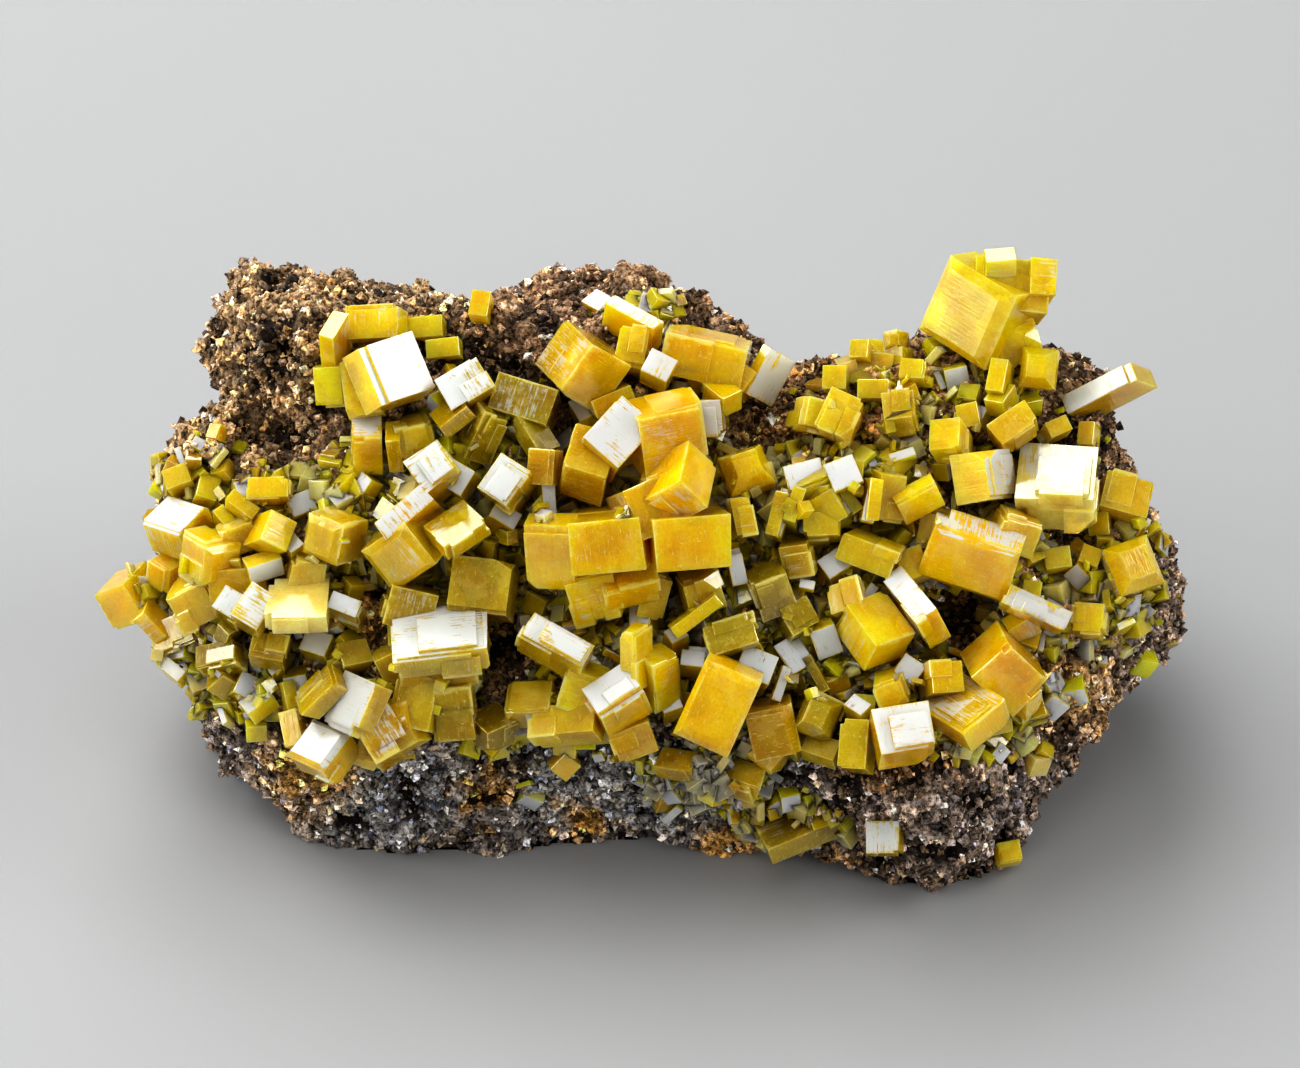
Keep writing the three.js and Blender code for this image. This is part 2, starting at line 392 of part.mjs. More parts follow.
/** The half space under the resting plane, in the tilted frame of the crystal face. */
function underfoot(toBed) {
  const slab = new THREE.BoxGeometry(GROUND_SIDE, GROUND_SIDE, GROUND_SIDE).translate(0, 0, -GROUND_SIDE / 2);
  return toSolid(slab.applyMatrix4(toBed));
}

/** One solid for each set of crystals that have grown into one another, biggest first. */
function joinCrystals(list) {
  let joined = null;
  for (const crystal of list) {
    const place = crystalPlace(crystal);
    for (const shape of crystalShapes(crystal)) {
      const solid = toSolid(shape.applyMatrix4(place));
      joined = joined ? joined.add(solid) : solid;
    }
  }
  return joined;
}

/** The region of the face whose crystal stands nearest to the middle of a piece, which names it. */
function nearestRegion(shape) {
  shape.computeBoundingBox();
  const middle = shape.boundingBox.getCenter(new THREE.Vector3());
  let best = { far: Infinity, region: "" };
  for (const [region, list] of Object.entries(CRYSTALS)) {
    for (const { at } of list) {
      const far = Math.hypot(at[0] - middle.x, at[1] - middle.y);
      if (far < best.far) best = { far, region };
    }
  }
  return best.region;
}

// ---------------------------------------------------------------- the specimen
const MATRIX_LOOK = new THREE.MeshStandardMaterial({ color: 0x6e4f3a, roughness: 0.95, metalness: 0 });
const CRYSTAL_LOOK = new THREE.MeshStandardMaterial({ color: 0xd9a514, roughness: 0.2, metalness: 0 });

const specimen = new THREE.Group();
specimen.rotation.x = radians(BED_LEAN);
specimen.position.z = BED_HEIGHT;
specimen.updateMatrixWorld(true);

const ground = underfoot(specimen.matrixWorld.clone().invert());
const rock = toSolid(matrixShape(0)).subtract(ground);
const rockAndGap = toSolid(matrixShape(ROOT_GAP));

const matrix = new THREE.Mesh(toGeometry(rock), MATRIX_LOOK);
matrix.name = "matrix";
specimen.add(matrix);

const crystals = joinCrystals(Object.values(CRYSTALS).flat()).subtract(rockAndGap).subtract(ground);
const pieces = crystals.decompose().filter((solid) => solid.volume() > SMALLEST);
pieces.sort((one, other) => other.volume() - one.volume());
const named = {};
for (const solid of pieces) {
  const shape = toGeometry(solid);
  const region = nearestRegion(shape);
  named[region] = (named[region] ?? 0) + 1;
  const crystal = new THREE.Mesh(shape, CRYSTAL_LOOK);
  crystal.name = `crystals_${region}_${named[region]}`;
  specimen.add(crystal);
}

const part = new THREE.Group();
part.add(specimen);

export default part;
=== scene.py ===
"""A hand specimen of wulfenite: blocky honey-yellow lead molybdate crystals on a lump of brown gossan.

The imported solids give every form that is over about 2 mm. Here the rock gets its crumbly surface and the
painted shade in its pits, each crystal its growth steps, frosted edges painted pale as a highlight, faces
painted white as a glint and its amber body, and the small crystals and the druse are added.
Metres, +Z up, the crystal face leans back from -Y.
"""

import itertools
import json
import math

import bmesh
import bpy
import numpy as np
from mathutils import Matrix, Vector
from mathutils.bvhtree import BVHTree

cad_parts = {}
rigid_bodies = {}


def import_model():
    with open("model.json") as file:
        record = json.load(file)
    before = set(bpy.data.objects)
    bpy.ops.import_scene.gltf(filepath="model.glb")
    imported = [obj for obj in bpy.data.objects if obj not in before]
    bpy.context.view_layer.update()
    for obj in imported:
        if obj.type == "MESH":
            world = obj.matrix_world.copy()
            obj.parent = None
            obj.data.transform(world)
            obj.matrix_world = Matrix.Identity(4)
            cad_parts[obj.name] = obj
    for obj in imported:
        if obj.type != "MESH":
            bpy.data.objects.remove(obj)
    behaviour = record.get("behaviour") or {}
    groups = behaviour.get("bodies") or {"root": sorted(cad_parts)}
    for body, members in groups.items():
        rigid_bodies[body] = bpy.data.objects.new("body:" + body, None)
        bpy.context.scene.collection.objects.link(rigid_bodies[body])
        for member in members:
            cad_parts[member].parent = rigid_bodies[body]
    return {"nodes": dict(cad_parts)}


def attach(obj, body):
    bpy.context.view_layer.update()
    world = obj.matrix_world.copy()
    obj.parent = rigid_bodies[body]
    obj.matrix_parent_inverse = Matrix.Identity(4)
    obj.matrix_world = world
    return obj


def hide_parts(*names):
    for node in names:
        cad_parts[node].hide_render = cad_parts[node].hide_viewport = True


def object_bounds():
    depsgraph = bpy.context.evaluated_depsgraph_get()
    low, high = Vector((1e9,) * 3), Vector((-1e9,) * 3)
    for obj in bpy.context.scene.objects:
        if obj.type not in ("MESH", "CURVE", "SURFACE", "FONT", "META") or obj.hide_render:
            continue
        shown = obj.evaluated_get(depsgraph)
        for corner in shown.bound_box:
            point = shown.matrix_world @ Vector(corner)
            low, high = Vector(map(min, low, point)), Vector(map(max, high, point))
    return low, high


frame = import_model()
cad_low, cad_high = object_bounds()
MM = 0.001

# ---------------------------------------------------------------- camera
# The specimen lies on its flat base and is looked at square on to its crystal face, which leans back.
FACE_LEAN = math.radians(50)
FACE_MIDDLE = Vector((0, 0, 22.4 * MM))
VIEW_AIM = Vector((0.83 * MM, 1.39 * MM, 24.06 * MM))
VIEW_DISTANCE = 903 * MM
VIEW_LENS = 300

to_world = Matrix.Translation(FACE_MIDDLE) @ Matrix.Rotation(FACE_LEAN, 4, "X")
face_right, face_up, face_out = (Vector(to_world.col[i][:3]) for i in range(3))
view = bpy.data.objects.new("camera", bpy.data.cameras.new("camera"))
view.data.lens = VIEW_LENS
view.data.clip_start = 10 * MM
view.location = VIEW_AIM + VIEW_DISTANCE * face_out
view.rotation_euler = face_out.to_track_quat("Z", "Y").to_euler()
bpy.context.collection.objects.link(view)
bpy.context.scene.camera = view
bpy.context.scene.view_settings.view_transform = "Standard"
bpy.context.scene.view_settings.look = "High Contrast"

# ---------------------------------------------------------------- floor
# A plain pale table top with a faint mottle, so that it isn't one flat colour.
FLOOR_SIZE = 6.0
FLOOR_COLOUR = (0.25, 0.25, 0.25)
FLOOR_MOTTLE = 1.04  # how much brighter its brighter spots are
FLOOR_SPOTS = 9  # to the metre


def node_of(tree, kind, values, **settings):
    """A new shader node with its settings, and its inputs by name or number as sockets or constants."""
    node = tree.nodes.new("ShaderNode" + kind)
    for name, value in settings.items():
        setattr(node, name, value)
    for name, value in values.items():
        if isinstance(value, bpy.types.NodeSocket):
            tree.links.new(value, node.inputs[name])
        else:
            node.inputs[name].default_value = value
    return node


def painted(name, values):
    """A new material and its Principled shader with some inputs set, its tree and Object coordinates."""
    material = bpy.data.materials.new(name)
    material.use_nodes = True
    tree = material.node_tree
    shader = tree.nodes["Principled BSDF"]
    for key, value in values.items():
        shader.inputs[key].default_value = value
    return material, shader, tree, node_of(tree, "TexCoord", {}).outputs["Object"]


def linked(name, mesh, material):
    """A new object of the scene, at the origin, with a mesh of one material."""
    mesh.materials.append(material)
    piece = bpy.data.objects.new(name, mesh)
    bpy.context.collection.objects.link(piece)
    return piece


def flat_mesh(name, vertices, corners, lengths):
    """A flat-shaded mesh from its vertices, the vertex at each face corner, and each face's corner count."""
    mesh = bpy.data.meshes.new(name)
    mesh.vertices.add(len(vertices))
    mesh.vertices.foreach_set("co", vertices.astype(np.float32).ravel())
    mesh.loops.add(len(corners))
    mesh.loops.foreach_set("vertex_index", corners.astype(np.int32))
    mesh.polygons.add(len(lengths))
    mesh.polygons.foreach_set("loop_start", (np.cumsum(lengths) - lengths).astype(np.int32))
    mesh.update(calc_edges=True)
    mesh.shade_flat()
    return mesh


def noise(tree, place, scale, detail=2.0, rough=0.5):
    """The height of a noise texture over a coordinate, from 0 to 1 with most of it near the middle."""
    values = {"Vector": place, "Scale": scale, "Detail": detail, "Roughness": rough}
    return node_of(tree, "TexNoise", values).outputs["Fac"]


def ranged(tree, value, *limits):
    """A value whose low and high become another low and high, or else 0 and 1, and that is held there."""
    return node_of(tree, "MapRange", dict(enumerate((value, *limits)))).outputs["Result"]


def sum_of(tree, operation, first, second):
    """Two numbers joined by a maths operation, the second a socket or a constant."""
    return node_of(tree, "Math", {0: first, 1: second}, operation=operation).outputs[0]


MIX_FACTOR, MIX_FIRST, MIX_SECOND, MIX_RESULT = 0, 6, 7, 2  # a Mix node's sockets for colours


def mixed(tree, factor, first, second, blend="MIX"):
    """Two colours mixed by a factor, each of the three a socket or a constant."""
    first, second = ((*c, 1) if isinstance(c, tuple) else c for c in (first, second))
    values = {MIX_FACTOR: factor, MIX_FIRST: first, MIX_SECOND: second}
    return node_of(tree, "Mix", values, data_type="RGBA", blend_type=blend).outputs[MIX_RESULT]


def bumped(tree, shader, height, depth, strength=1.0):
    """Relief from a height: depth in metres between 0 and 1. A second call is laid over the first."""
    values = {"Distance": depth, "Strength": strength, "Height": height}
    if shader.inputs["Normal"].is_linked:
        values["Normal"] = shader.inputs["Normal"].links[0].from_socket
    tree.links.new(node_of(tree, "Bump", values).outputs["Normal"], shader.inputs["Normal"])


table_paint, shader, tree, place = painted("pale_table", {"Roughness": 0.7})
paler = tuple(c * FLOOR_MOTTLE for c in FLOOR_COLOUR)
mottle = noise(tree, place, FLOOR_SPOTS)
tree.links.new(mixed(tree, mottle, FLOOR_COLOUR, paler), shader.inputs["Base Color"])
half = FLOOR_SIZE / 2
corners = np.array([(-half, -half, 0), (half, -half, 0), (half, half, 0), (-half, half, 0)])
table_top = linked("table_top", flat_mesh("table_top", corners, np.arange(4), [4]), table_paint)

# ---------------------------------------------------------------- light
# Square soft boxes from the top of the front over to the back, and on each side. A face that is turned to
# a mirrored one has a white sheen; the others only light, so that the faces turned there stay amber.
BOX_SIDE = 0.4
BOX_FAR = 0.7
ROOM_COLOUR = (0.9, 0.95, 1, 1)
ROOM_LIGHT = 0.15
LIGHT_BOUNCES = 5  # as many as still change what is seen through the crystals
# Direction and watts of each, and whether it is mirrored in the crystals.
SOFT_BOXES = {
    "front_top": ((-0.05, -0.33, 0.94), 1.2, False),
    "behind": ((-0.12, 0.72, 0.68), 2.2, True),
    "behind_left": ((-0.72, 0.42, 0.55), 2.2, True),
    "left": ((-0.84, -0.2, 0.5), 1.85, True),
    "right": ((0.8, 0.02, 0.6), 1.9, True),
    "overhead": ((-0.33, 0.2, 0.92), 2.2, False),
    "low_left": ((-0.62, -0.77, 0.12), 2.1, False),
    "low_right": ((0.78, -0.62, 0.15), 2.8, False),
}
for name, (direction, watts, mirrored) in SOFT_BOXES.items():
    lamp = bpy.data.lights.new(name, "AREA")
    lamp.size = BOX_SIDE
    lamp.energy = watts
    box = bpy.data.objects.new(name, lamp)
    box.location = FACE_MIDDLE + BOX_FAR * Vector(direction).normalized()
    box.rotation_euler = Vector(direction).to_track_quat("Z", "Y").to_euler()
    box.visible_glossy = mirrored
    bpy.context.collection.objects.link(box)
bpy.context.scene.cycles.max_bounces = LIGHT_BOUNCES
bpy.context.scene.cycles.transmission_bounces = LIGHT_BOUNCES
room = bpy.data.worlds.new("room")
room.use_nodes = True
sky = room.node_tree.nodes["Background"]
sky.inputs["Color"].default_value = ROOM_COLOUR
sky.inputs["Strength"].default_value = ROOM_LIGHT
bpy.context.scene.world = room

# ---------------------------------------------------------------- the rock
# Gossan: one spongy, crumbly lump of iron oxides, tan and ochre where it is weathered, blue-black along the
# broken cliff in front. The plain solid is cut in fine cells, which stand out as crumbs and sink as pores.
# Painted shade: the rock's colour is drawn to near-black in its pores and low places, and kept on the crumbs'
# tops.
ROCK_CELL = 0.42 * MM
ROCK_LUMPS = [(3.2, 1.6, 0.45), (1.5, 1.1, 0.75)]  # size and height of the crumbs in mm, and their light
ROCK_SINK = 0.15  # mm that the surface is drawn in before the crumbs stand out of it
LUMP_LEVEL = 0.4  # a crumb's height from 0 to 1 at which the surface stays where it is
LUMP_WARP = 0.35  # how far the crumbs are pushed out of their order, in crumb sizes
ROCK_PORES = (2.8, 0.24, 2.8)  # size of the pores, how rare they are, and how deep
PORE_SHADE = 3
CREST = (0.1, 1.9)  # where the crests' colour starts, and how fast it takes over
FOOT = 0.15 * MM  # what is lower than this lies flat on the table
JOIN_WITHIN = 0.002 * MM

GRIT = (2400, 3, 0.7)  # noise: grains to the metre, octaves and roughness
GRIT_RANGE = (0.38, 0.62)
GRIT_SHADES = ((0.3, 0.28, 0.26), (1.8, 1.8, 1.8))
GRIT_DEPTH = 0.35 * MM

TAN = (0.44, 0.3, 0.165)
OCHRE = (0.52, 0.3, 0.085)
BROWN = (0.225, 0.15, 0.092)
PLUM = (0.33, 0.265, 0.22)
SLATE = (0.33, 0.32, 0.31)
# Painted shade: the near-black that the pits and low places of the rock are drawn to.
PIT_SHADE = (0.018, 0.012, 0.009)
BACK_STARTS = -9  # mm out of the face; behind this the colour lies in patches of BACK_PATCH mm
BACK_FADE = 4
BACK_PATCH = 8
PATCH_CONTRAST = 2.2
COOL_SHARE = 0.8
WOBBLE = 1.5  # mm that the patches' rims wander
SPOTS = (1.7, 1.4, 0.5)  # darker and paler spots: size in mm, contrast and strength
# Where the rock's colour differs from plain brown: middle and reach on the face in mm, and the colour.
ROCK_PATCHES = [
    ((-31, 18), (8, 6), TAN),
    ((-36, 9.5), (5, 4), TAN),
    ((-20, 22), (6, 3), TAN),
    ((-5, 21), (9, 4), (0.31, 0.2, 0.12)),
    ((20, 13), (9, 6), (0.33, 0.2, 0.09)),
    ((-21.7, -5), (2.6, 5), OCHRE),
    ((38, -10), (6, 4), (0.42, 0.26, 0.1)),
    ((42, -5), (4, 7), (0.3, 0.23, 0.18)),
    ((-34, -16), (4, 6), PLUM),
    ((-22, -19), (7, 5), SLATE),
    ((2, 1), (24, 9), (0.36, 0.24, 0.11)),
    ((15, -4), (7, 9), OCHRE),
    ((-4, -19), (12, 5), SLATE),
    ((-28, -17), (3, 3), OCHRE),
    ((-12.5, -19.5), (2, 1.6), OCHRE),
    ((-4, -22), (2.2, 1.4), OCHRE),
    ((8, -24), (3, 1.4), OCHRE),
    ((16.5, -26), (2, 1.4), OCHRE),
    ((12, -17), (6, 4), SLATE),
    ((27, -20), (9, 6), PLUM),
    ((21, -16), (5, 2.4), (0.33, 0.2, 0.1)),
]


# Large odd numbers that turn a lattice point's place into one that looks random, the same in every run.
PLACE_HASH = np.array([73856093, 19349663, 83492791])
NOISE_HASH = 1274126177
CRUMB_HASH = 2654435761
HASH_BITS = 0x7FFFFFFF


def fixed_noise(points, size, seed):
    """A smooth random height from -1 to 1: the fixed random values of a cube lattice's corners, blended."""
    scaled = points / size + seed * 31.7
    cell = np.floor(scaled).astype(np.int64)
    part = scaled - cell
    part = part * part * (3 - 2 * part)
    total = np.zeros(len(points))
    for corner in itertools.product((0, 1), repeat=3):
        at = cell + corner
        hashed = at @ PLACE_HASH + seed * 7919
        hashed = (hashed ^ (hashed >> 13)) * NOISE_HASH & HASH_BITS
        value = ((hashed ^ (hashed >> 16)) & 0xFFFF) / 32767.5 - 1
        total += value * np.prod(np.where(corner, part, 1 - part), axis=1)
    return total


def crumbs(points, size, seed):
    """Angular crumbs from 0 to 1: a cone of random height round each jittered point of a lattice."""
    scaled = points / size + seed * 11.3
    cell = np.floor(scaled).astype(np.int64)
    nearest = np.full(len(points), 9.0)
    height = np.zeros(len(points))
    for corner in itertools.product((-1, 0, 1), repeat=3):
        at = cell + corner
        hashed = at @ PLACE_HASH + seed * 104729
        hashes = [(hashed * m ^ (hashed >> 7)) * CRUMB_HASH & HASH_BITS for m in (3, 5, 7, 11)]
        jitter = [h % 1009 / 1009 for h in hashes]
        gap = scaled - at - np.stack(jitter[:3], axis=1)
        far = np.abs(gap).max(1) + 0.4 * np.abs(gap).sum(1)
        height = np.where(far < nearest, jitter[3], height)
        nearest = np.minimum(nearest, far)
    return np.clip(1.15 - nearest, 0, 1) * (0.45 + 0.55 * height)


def on_face(points):
    """World points in metres as mm in the frame of the crystal face: right, up the face, out of it."""
    turned = (points - np.array(FACE_MIDDLE)) @ np.array([face_right, face_up, face_out]).T
    return turned / MM


def blended(points, patches, plain):
    """The colour at each face point: the patches' colours by their bell-shaped weights, plain elsewhere."""
    colour = np.tile(np.array(plain, float), (len(points), 1))
    for (x, y), (across, up), hue in patches:
        weight = np.exp(-(((points[:, 0] - x) / across) ** 2) - ((points[:, 1] - y) / up) ** 2)
        weight = np.clip(1.6 * weight, 0, 1)[:, None]
        colour = colour * (1 - weight) + np.array(hue) * weight
    return colour


def rock_colour(points, crest):
    """The rock's colour on the crests, and painted shade in the pits: the same colour drawn far darker there.
    """
    face = on_face(points)
    wobble = np.stack([fixed_noise(face, 3, s) + fixed_noise(face, 1.1, s + 5) for s in (3, 4, 5)], 1)
    wobble = WOBBLE * wobble
    colour = blended(face + wobble, ROCK_PATCHES, BROWN)
    behind = np.clip((BACK_STARTS - face[:, 2] + 2 * wobble[:, 2]) / BACK_FADE, 0, 1)[:, None]
    patches = (fixed_noise(face + wobble, BACK_PATCH, seed) for seed in (12, 13))
    warm, cool = (np.clip(PATCH_CONTRAST * patch, 0, 1)[:, None] for patch in patches)
    patchy = np.array(BROWN) * (1 - warm) + np.array(TAN) * warm
    patchy = patchy * (1 - COOL_SHARE * cool) + np.array(PLUM) * COOL_SHARE * cool
    colour = colour * (1 - behind) + patchy * behind
    size, contrast, strength = SPOTS
    spots = np.clip(fixed_noise(face, size, 9) * contrast, -0.6, 0.9)[:, None]
    colour = colour * (1 + strength * spots)
    # Painted shade: the lower the crest value, the nearer the colour is to near-black.
    depth = np.clip(crest, 0, 1)[:, None]
    return np.array(PIT_SHADE) * (1 - depth) + colour * depth


def object_of(name, made, material):
    """A new object of the scene from a bmesh, which is freed."""
    mesh = bpy.data.meshes.new(name)
    made.to_mesh(mesh)
    made.free()
    return linked(name, mesh, material)


def settled(piece):
    """The new mesh of a piece whose modifiers have been applied."""
    graph = bpy.context.evaluated_depsgraph_get()
    mesh = bpy.data.meshes.new_from_object(piece.evaluated_get(graph))
    piece.modifiers.clear()
    piece.data = mesh
    return mesh


def values_of(items, name, kind=np.float32):
    """A number for each of a mesh's vertices, faces, corners or attribute values."""
    values = np.empty(len(items), kind)
    items.foreach_get(name, values)
    return values


def triples_of(items, name, kind=float):
    """A row of three numbers for each of a mesh's vertices or faces."""
    values = np.empty(len(items) * 3, np.int32 if kind is int else np.float32)
    items.foreach_get(name, values)
    return values.reshape(-1, 3).astype(kind)


def toned(mesh, tones_with_pit_shade):
    """The rock's colour with its painted shade in the pits, as a row of red, green and blue for each vertex.
    """
    shade = mesh.color_attributes.new("rock_tone_and_shade", "FLOAT_COLOR", "POINT")
    shade.data.foreach_set("color", np.column_stack([tones_with_pit_shade, np.ones(len(tones_with_pit_shade))]).astype(np.float32).ravel())


def merged(node):
    """A bmesh of a CAD node with its loose triangles joined."""
    made = bmesh.new()
    made.from_mesh(frame["nodes"][node].data)
    bmesh.ops.remove_doubles(made, verts=made.verts, dist=JOIN_WITHIN)
    return made


rock_paint, shader, tree, place = painted("gossan", {"Roughness": 0.92})
rock_tone_and_shade = node_of(tree, "VertexColor", {}, layer_name="rock_tone_and_shade").outputs["Color"]
grit = noise(tree, place, *GRIT)
shade_of = mixed(tree, ranged(tree, grit, *GRIT_RANGE), *GRIT_SHADES)
speckled = mixed(tree, 1.0, rock_tone_and_shade, shade_of, "MULTIPLY")
tree.links.new(speckled, shader.inputs["Base Color"])
bumped(tree, shader, grit, GRIT_DEPTH)

plain_rock = merged("matrix")
plain_rock_tree = BVHTree.FromBMesh(plain_rock)
gossan = object_of("gossan", plain_rock, rock_paint)
remesh = gossan.modifiers.new("cells", "REMESH")
remesh.mode = "VOXEL"
remesh.voxel_size = ROCK_CELL
fine = settled(gossan)

base = triples_of(fine.vertices, "co")
outward = triples_of(fine.vertex_normals, "vector")
rough = -ROCK_SINK * np.ones(len(base))
# How far each point keeps its colour against the painted shade: crumb tops more, pores much less.
crest = np.zeros(len(base))
for i, (size, stand, light) in enumerate(ROCK_LUMPS):
    push = np.stack([fixed_noise(base / MM, size, 20 + i + s) for s in range(3)], 1)
    lump = crumbs(base / MM + LUMP_WARP * size * push, size, 31 + i)
    rough += stand * (lump - LUMP_LEVEL)
    crest += light * lump
size, rare, deep = ROCK_PORES
pore = np.clip(-rare - fixed_noise(base / MM, size, 77), 0, 1)
rough -= deep * pore
crest -= PORE_SHADE * pore
shaped = base + outward * rough[:, None] * MM
shaped = np.clip(shaped, cad_low, cad_high)
shaped[base[:, 2] < FOOT, 2] = 0
fine.vertices.foreach_set("co", shaped.astype(np.float32).ravel())
# The rock's colour, with painted shade in its pits and low places.
tones_with_pit_shade = rock_colour(shaped, (crest - CREST[0]) * CREST[1])
toned(fine, tones_with_pit_shade)
fine.update()
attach(gossan, "root")
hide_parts("matrix")

# ---------------------------------------------------------------- the crumbs of the rock
# Grains and chips of a third to over one millimetre that are stuck all over the gossan, the brighter ones on
# its crests and the darker ones in its pits, where they take part of the rock's painted shade. They are small
# uneven octahedra, joined in one mesh for each quarter of the lump.
CRUMB_COUNT = 48000
CRUMB_SIZES = (0.35, 1.3)  # mm
CRUMB_FEW_LARGE = 2.4  # the higher, the fewer are near the largest size
CRUMB_SEAT = 0.12  # of its size that a crumb's middle stands off the rock
CRUMB_UNEVEN = 0.22
# The colour at a crumb's point holds the rock's painted pit shade.
CRUMB_TONES = (0.45, 0.55)  # shares of the colour of the rock at that point, and of that on its crests
CRUMB_LIGHT = 0.7  # how much one crumb's brightness differs from the next
CRUMB_WARMTH = 0.14  # and how much its hue does, from lilac-grey to orange
FLECK = (0.62, 0.6, 0.56)
FLECK_SHARE = 0.02

OCTAHEDRON = np.array([(1, 0, 0), (-1, 0, 0), (0, 1, 0), (0, -1, 0), (0, 0, 1), (0, 0, -1)], float)
OCTAHEDRON_FACES = np.array(
    [(0, 2, 4), (2, 1, 4), (1, 3, 4), (3, 0, 4), (2, 0, 5), (1, 2, 5), (3, 1, 5), (0, 3, 5)]
)


def random_turns(draws, count):
    """Rotations (n, 3, 3) from random unit quaternions."""
    quaternions = draws.standard_normal((4, count))
    w, x, y, z = quaternions / np.linalg.norm(quaternions, axis=0)
    rows = [
        [1 - 2 * (y * y + z * z), 2 * (x * y - z * w), 2 * (x * z + y * w)],
        [2 * (x * y + z * w), 1 - 2 * (x * x + z * z), 2 * (y * z - x * w)],
        [2 * (x * z - y * w), 2 * (y * z + x * w), 1 - 2 * (x * x + y * y)],
    ]
    return np.array(rows).transpose(2, 0, 1)


crumb_draws = np.random.default_rng(23)
fine.calc_loop_triangles()
triangle = triples_of(fine.loop_triangles, "vertices", int)
a, b, c = (shaped[triangle[:, i]] for i in range(3))
crossed = np.cross(b - a, c - a)
areas = np.linalg.norm(crossed, axis=1)
areas[(a[:, 2] < 0.6 * MM) & (crossed[:, 2] < 0)] = 0
picked = crumb_draws.choice(len(triangle), CRUMB_COUNT, p=areas / areas.sum())
shares = crumb_draws.dirichlet((1, 1, 1), CRUMB_COUNT)
seat = shares[:, :1] * a[picked] + shares[:, 1:2] * b[picked] + shares[:, 2:] * c[picked]
smallest, largest = CRUMB_SIZES
size = (smallest + (largest - smallest) * crumb_draws.uniform(size=CRUMB_COUNT) ** CRUMB_FEW_LARGE) * MM
uneven = OCTAHEDRON[None] * crumb_draws.uniform(0.5, 1.1, (CRUMB_COUNT, 6, 1))
uneven += crumb_draws.uniform(-CRUMB_UNEVEN, CRUMB_UNEVEN, (CRUMB_COUNT, 6, 3))
turned = random_turns(crumb_draws, CRUMB_COUNT)
crumb = np.einsum("nij,nkj->nki", turned, uneven * size[:, None, None] / 2)
crumb += (seat + crossed[picked] / areas[picked, None] * size[:, None] * CRUMB_SEAT)[:, None, :]
crumb = np.clip(crumb, cad_low, cad_high)
of_point = tones_with_pit_shade[triangle[picked, 0]]
of_crest = rock_colour(seat, np.full(CRUMB_COUNT, 0.85))
brightness = np.exp(CRUMB_LIGHT * crumb_draws.standard_normal(CRUMB_COUNT))[:, None]
warmth = CRUMB_WARMTH * crumb_draws.standard_normal((CRUMB_COUNT, 1))
colour = CRUMB_TONES[0] * of_point + CRUMB_TONES[1] * of_crest
colour = colour * brightness * np.exp(warmth * np.array([0.4, 0, -1]))
colour = np.where(crumb_draws.uniform(size=(CRUMB_COUNT, 1)) < FLECK_SHARE, np.array(FLECK), colour)
quarter = (seat[:, 0] > 0) * 2 + (seat[:, 1] > 6 * MM)
for i, name in enumerate(("left_front", "left_back", "right_front", "right_back")):
    here = np.flatnonzero(quarter == i)
    joined = (np.arange(len(here))[:, None, None] * 6 + OCTAHEDRON_FACES).ravel()
    mesh = flat_mesh("crumbs", crumb[here].reshape(-1, 3), joined, np.full(8 * len(here), 3))
    toned(mesh, np.repeat(np.clip(colour[here], 0.004, 0.8), 6, axis=0))
    piece = linked("gossan_crumbs_" + name, mesh, rock_paint)
    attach(piece, "root")

# ---------------------------------------------------------------- the wulfenite's body
# Lead molybdate: clear to cloudy amber with an adamantine shine, fine growth lines and inner flecks, and
# painted light: pale worn edges and rims painted as highlights, frosted faces painted white as a glint. One
# material for every crystal, whose faces say how they are tinted, frosted and painted with glint. The UV map
# growth is in mm along the crystal's own axes, and the map within runs from -1 to 1 across it.
CRYSTAL_IOR = 2.28
CRYSTAL_CLEARNESS = 0.5
CRYSTAL_GLOSS = 0.2
CRYSTAL_GLOW = 1.0
GLOW_REACH = (1.9, 2.0, 1.7)  # mm, of red, green and blue
AMBER = (1.0, 0.9, 0.05)
AMBER_DENSITY = 500  # per metre
# The white that the frosted faces are painted with: a painted glint in place of a reflection of the lamps.
GLINT_WHITE = (0.72, 0.76, 0.76)
# The pale of the rims, veils, flecks and scratches; on the rims it is a painted highlight.
PALE_FLECKS_AND_RIM_HIGHLIGHT = (0.97, 0.82, 0.24)
# Noise patterns in metres: how many to the metre, octaves and roughness.
# The ragged noise also breaks up the painted glint and the painted rim highlight.
RAGGED = (620, 4, 0.75)  # breaks up the frost and the pale rims
RIPPLE = (700, 2)
# The same, and how their heights are stretched: low and high, and what these become, 0 and 1 if not said.
ZONES = ((260, 3, 0.5), (0.36, 0.64))  # cloudier and clearer parts of the body
ZONE_SHADES = ((0.9, 0.8, 0.55), (1.05, 1.12, 1.2))
GRAIN = ((4200, 2, 0.8), (0.34, 0.66, 0.92, 1.07))
VEILS = ((380, 4, 0.72), (0.54, 0.555, 0.0, 0.15))
FLECKS = ((2300, 2, 0.7), (0.66, 0.7, 0.0, 0.55))
# Noise patterns in mm on the growth map: how many across and along, their turn, octaves and roughness.
GROWTH_LINES = ((5.5, 0.35, 1), 0, 3, 0.65)
SCRATCHES = ((7, 0.9, 1), 0.7, 3, 0.6)
SCRATCH_RANGE = (0.64, 0.67, 0.0, 0.6)
LINE_RANGE = (0.35, 0.65, 0.95, 1.04)
# The rims are painted pale as a highlight over this span.
RIM_HIGHLIGHT_RANGE = (0.9, 1.02, 0.0, 0.7)  # from just inside a face's edge to just past it
RIM_RAGGED = (0.3, 0.7, -0.12, 0.12)
# Blocks: how many to the mm, and their least and greatest value.
# The mosaic's brighter and darker blocks are painted reflections from inner planes, and also give relief.
MOSAIC = (0.4, 0.86, 1.06)
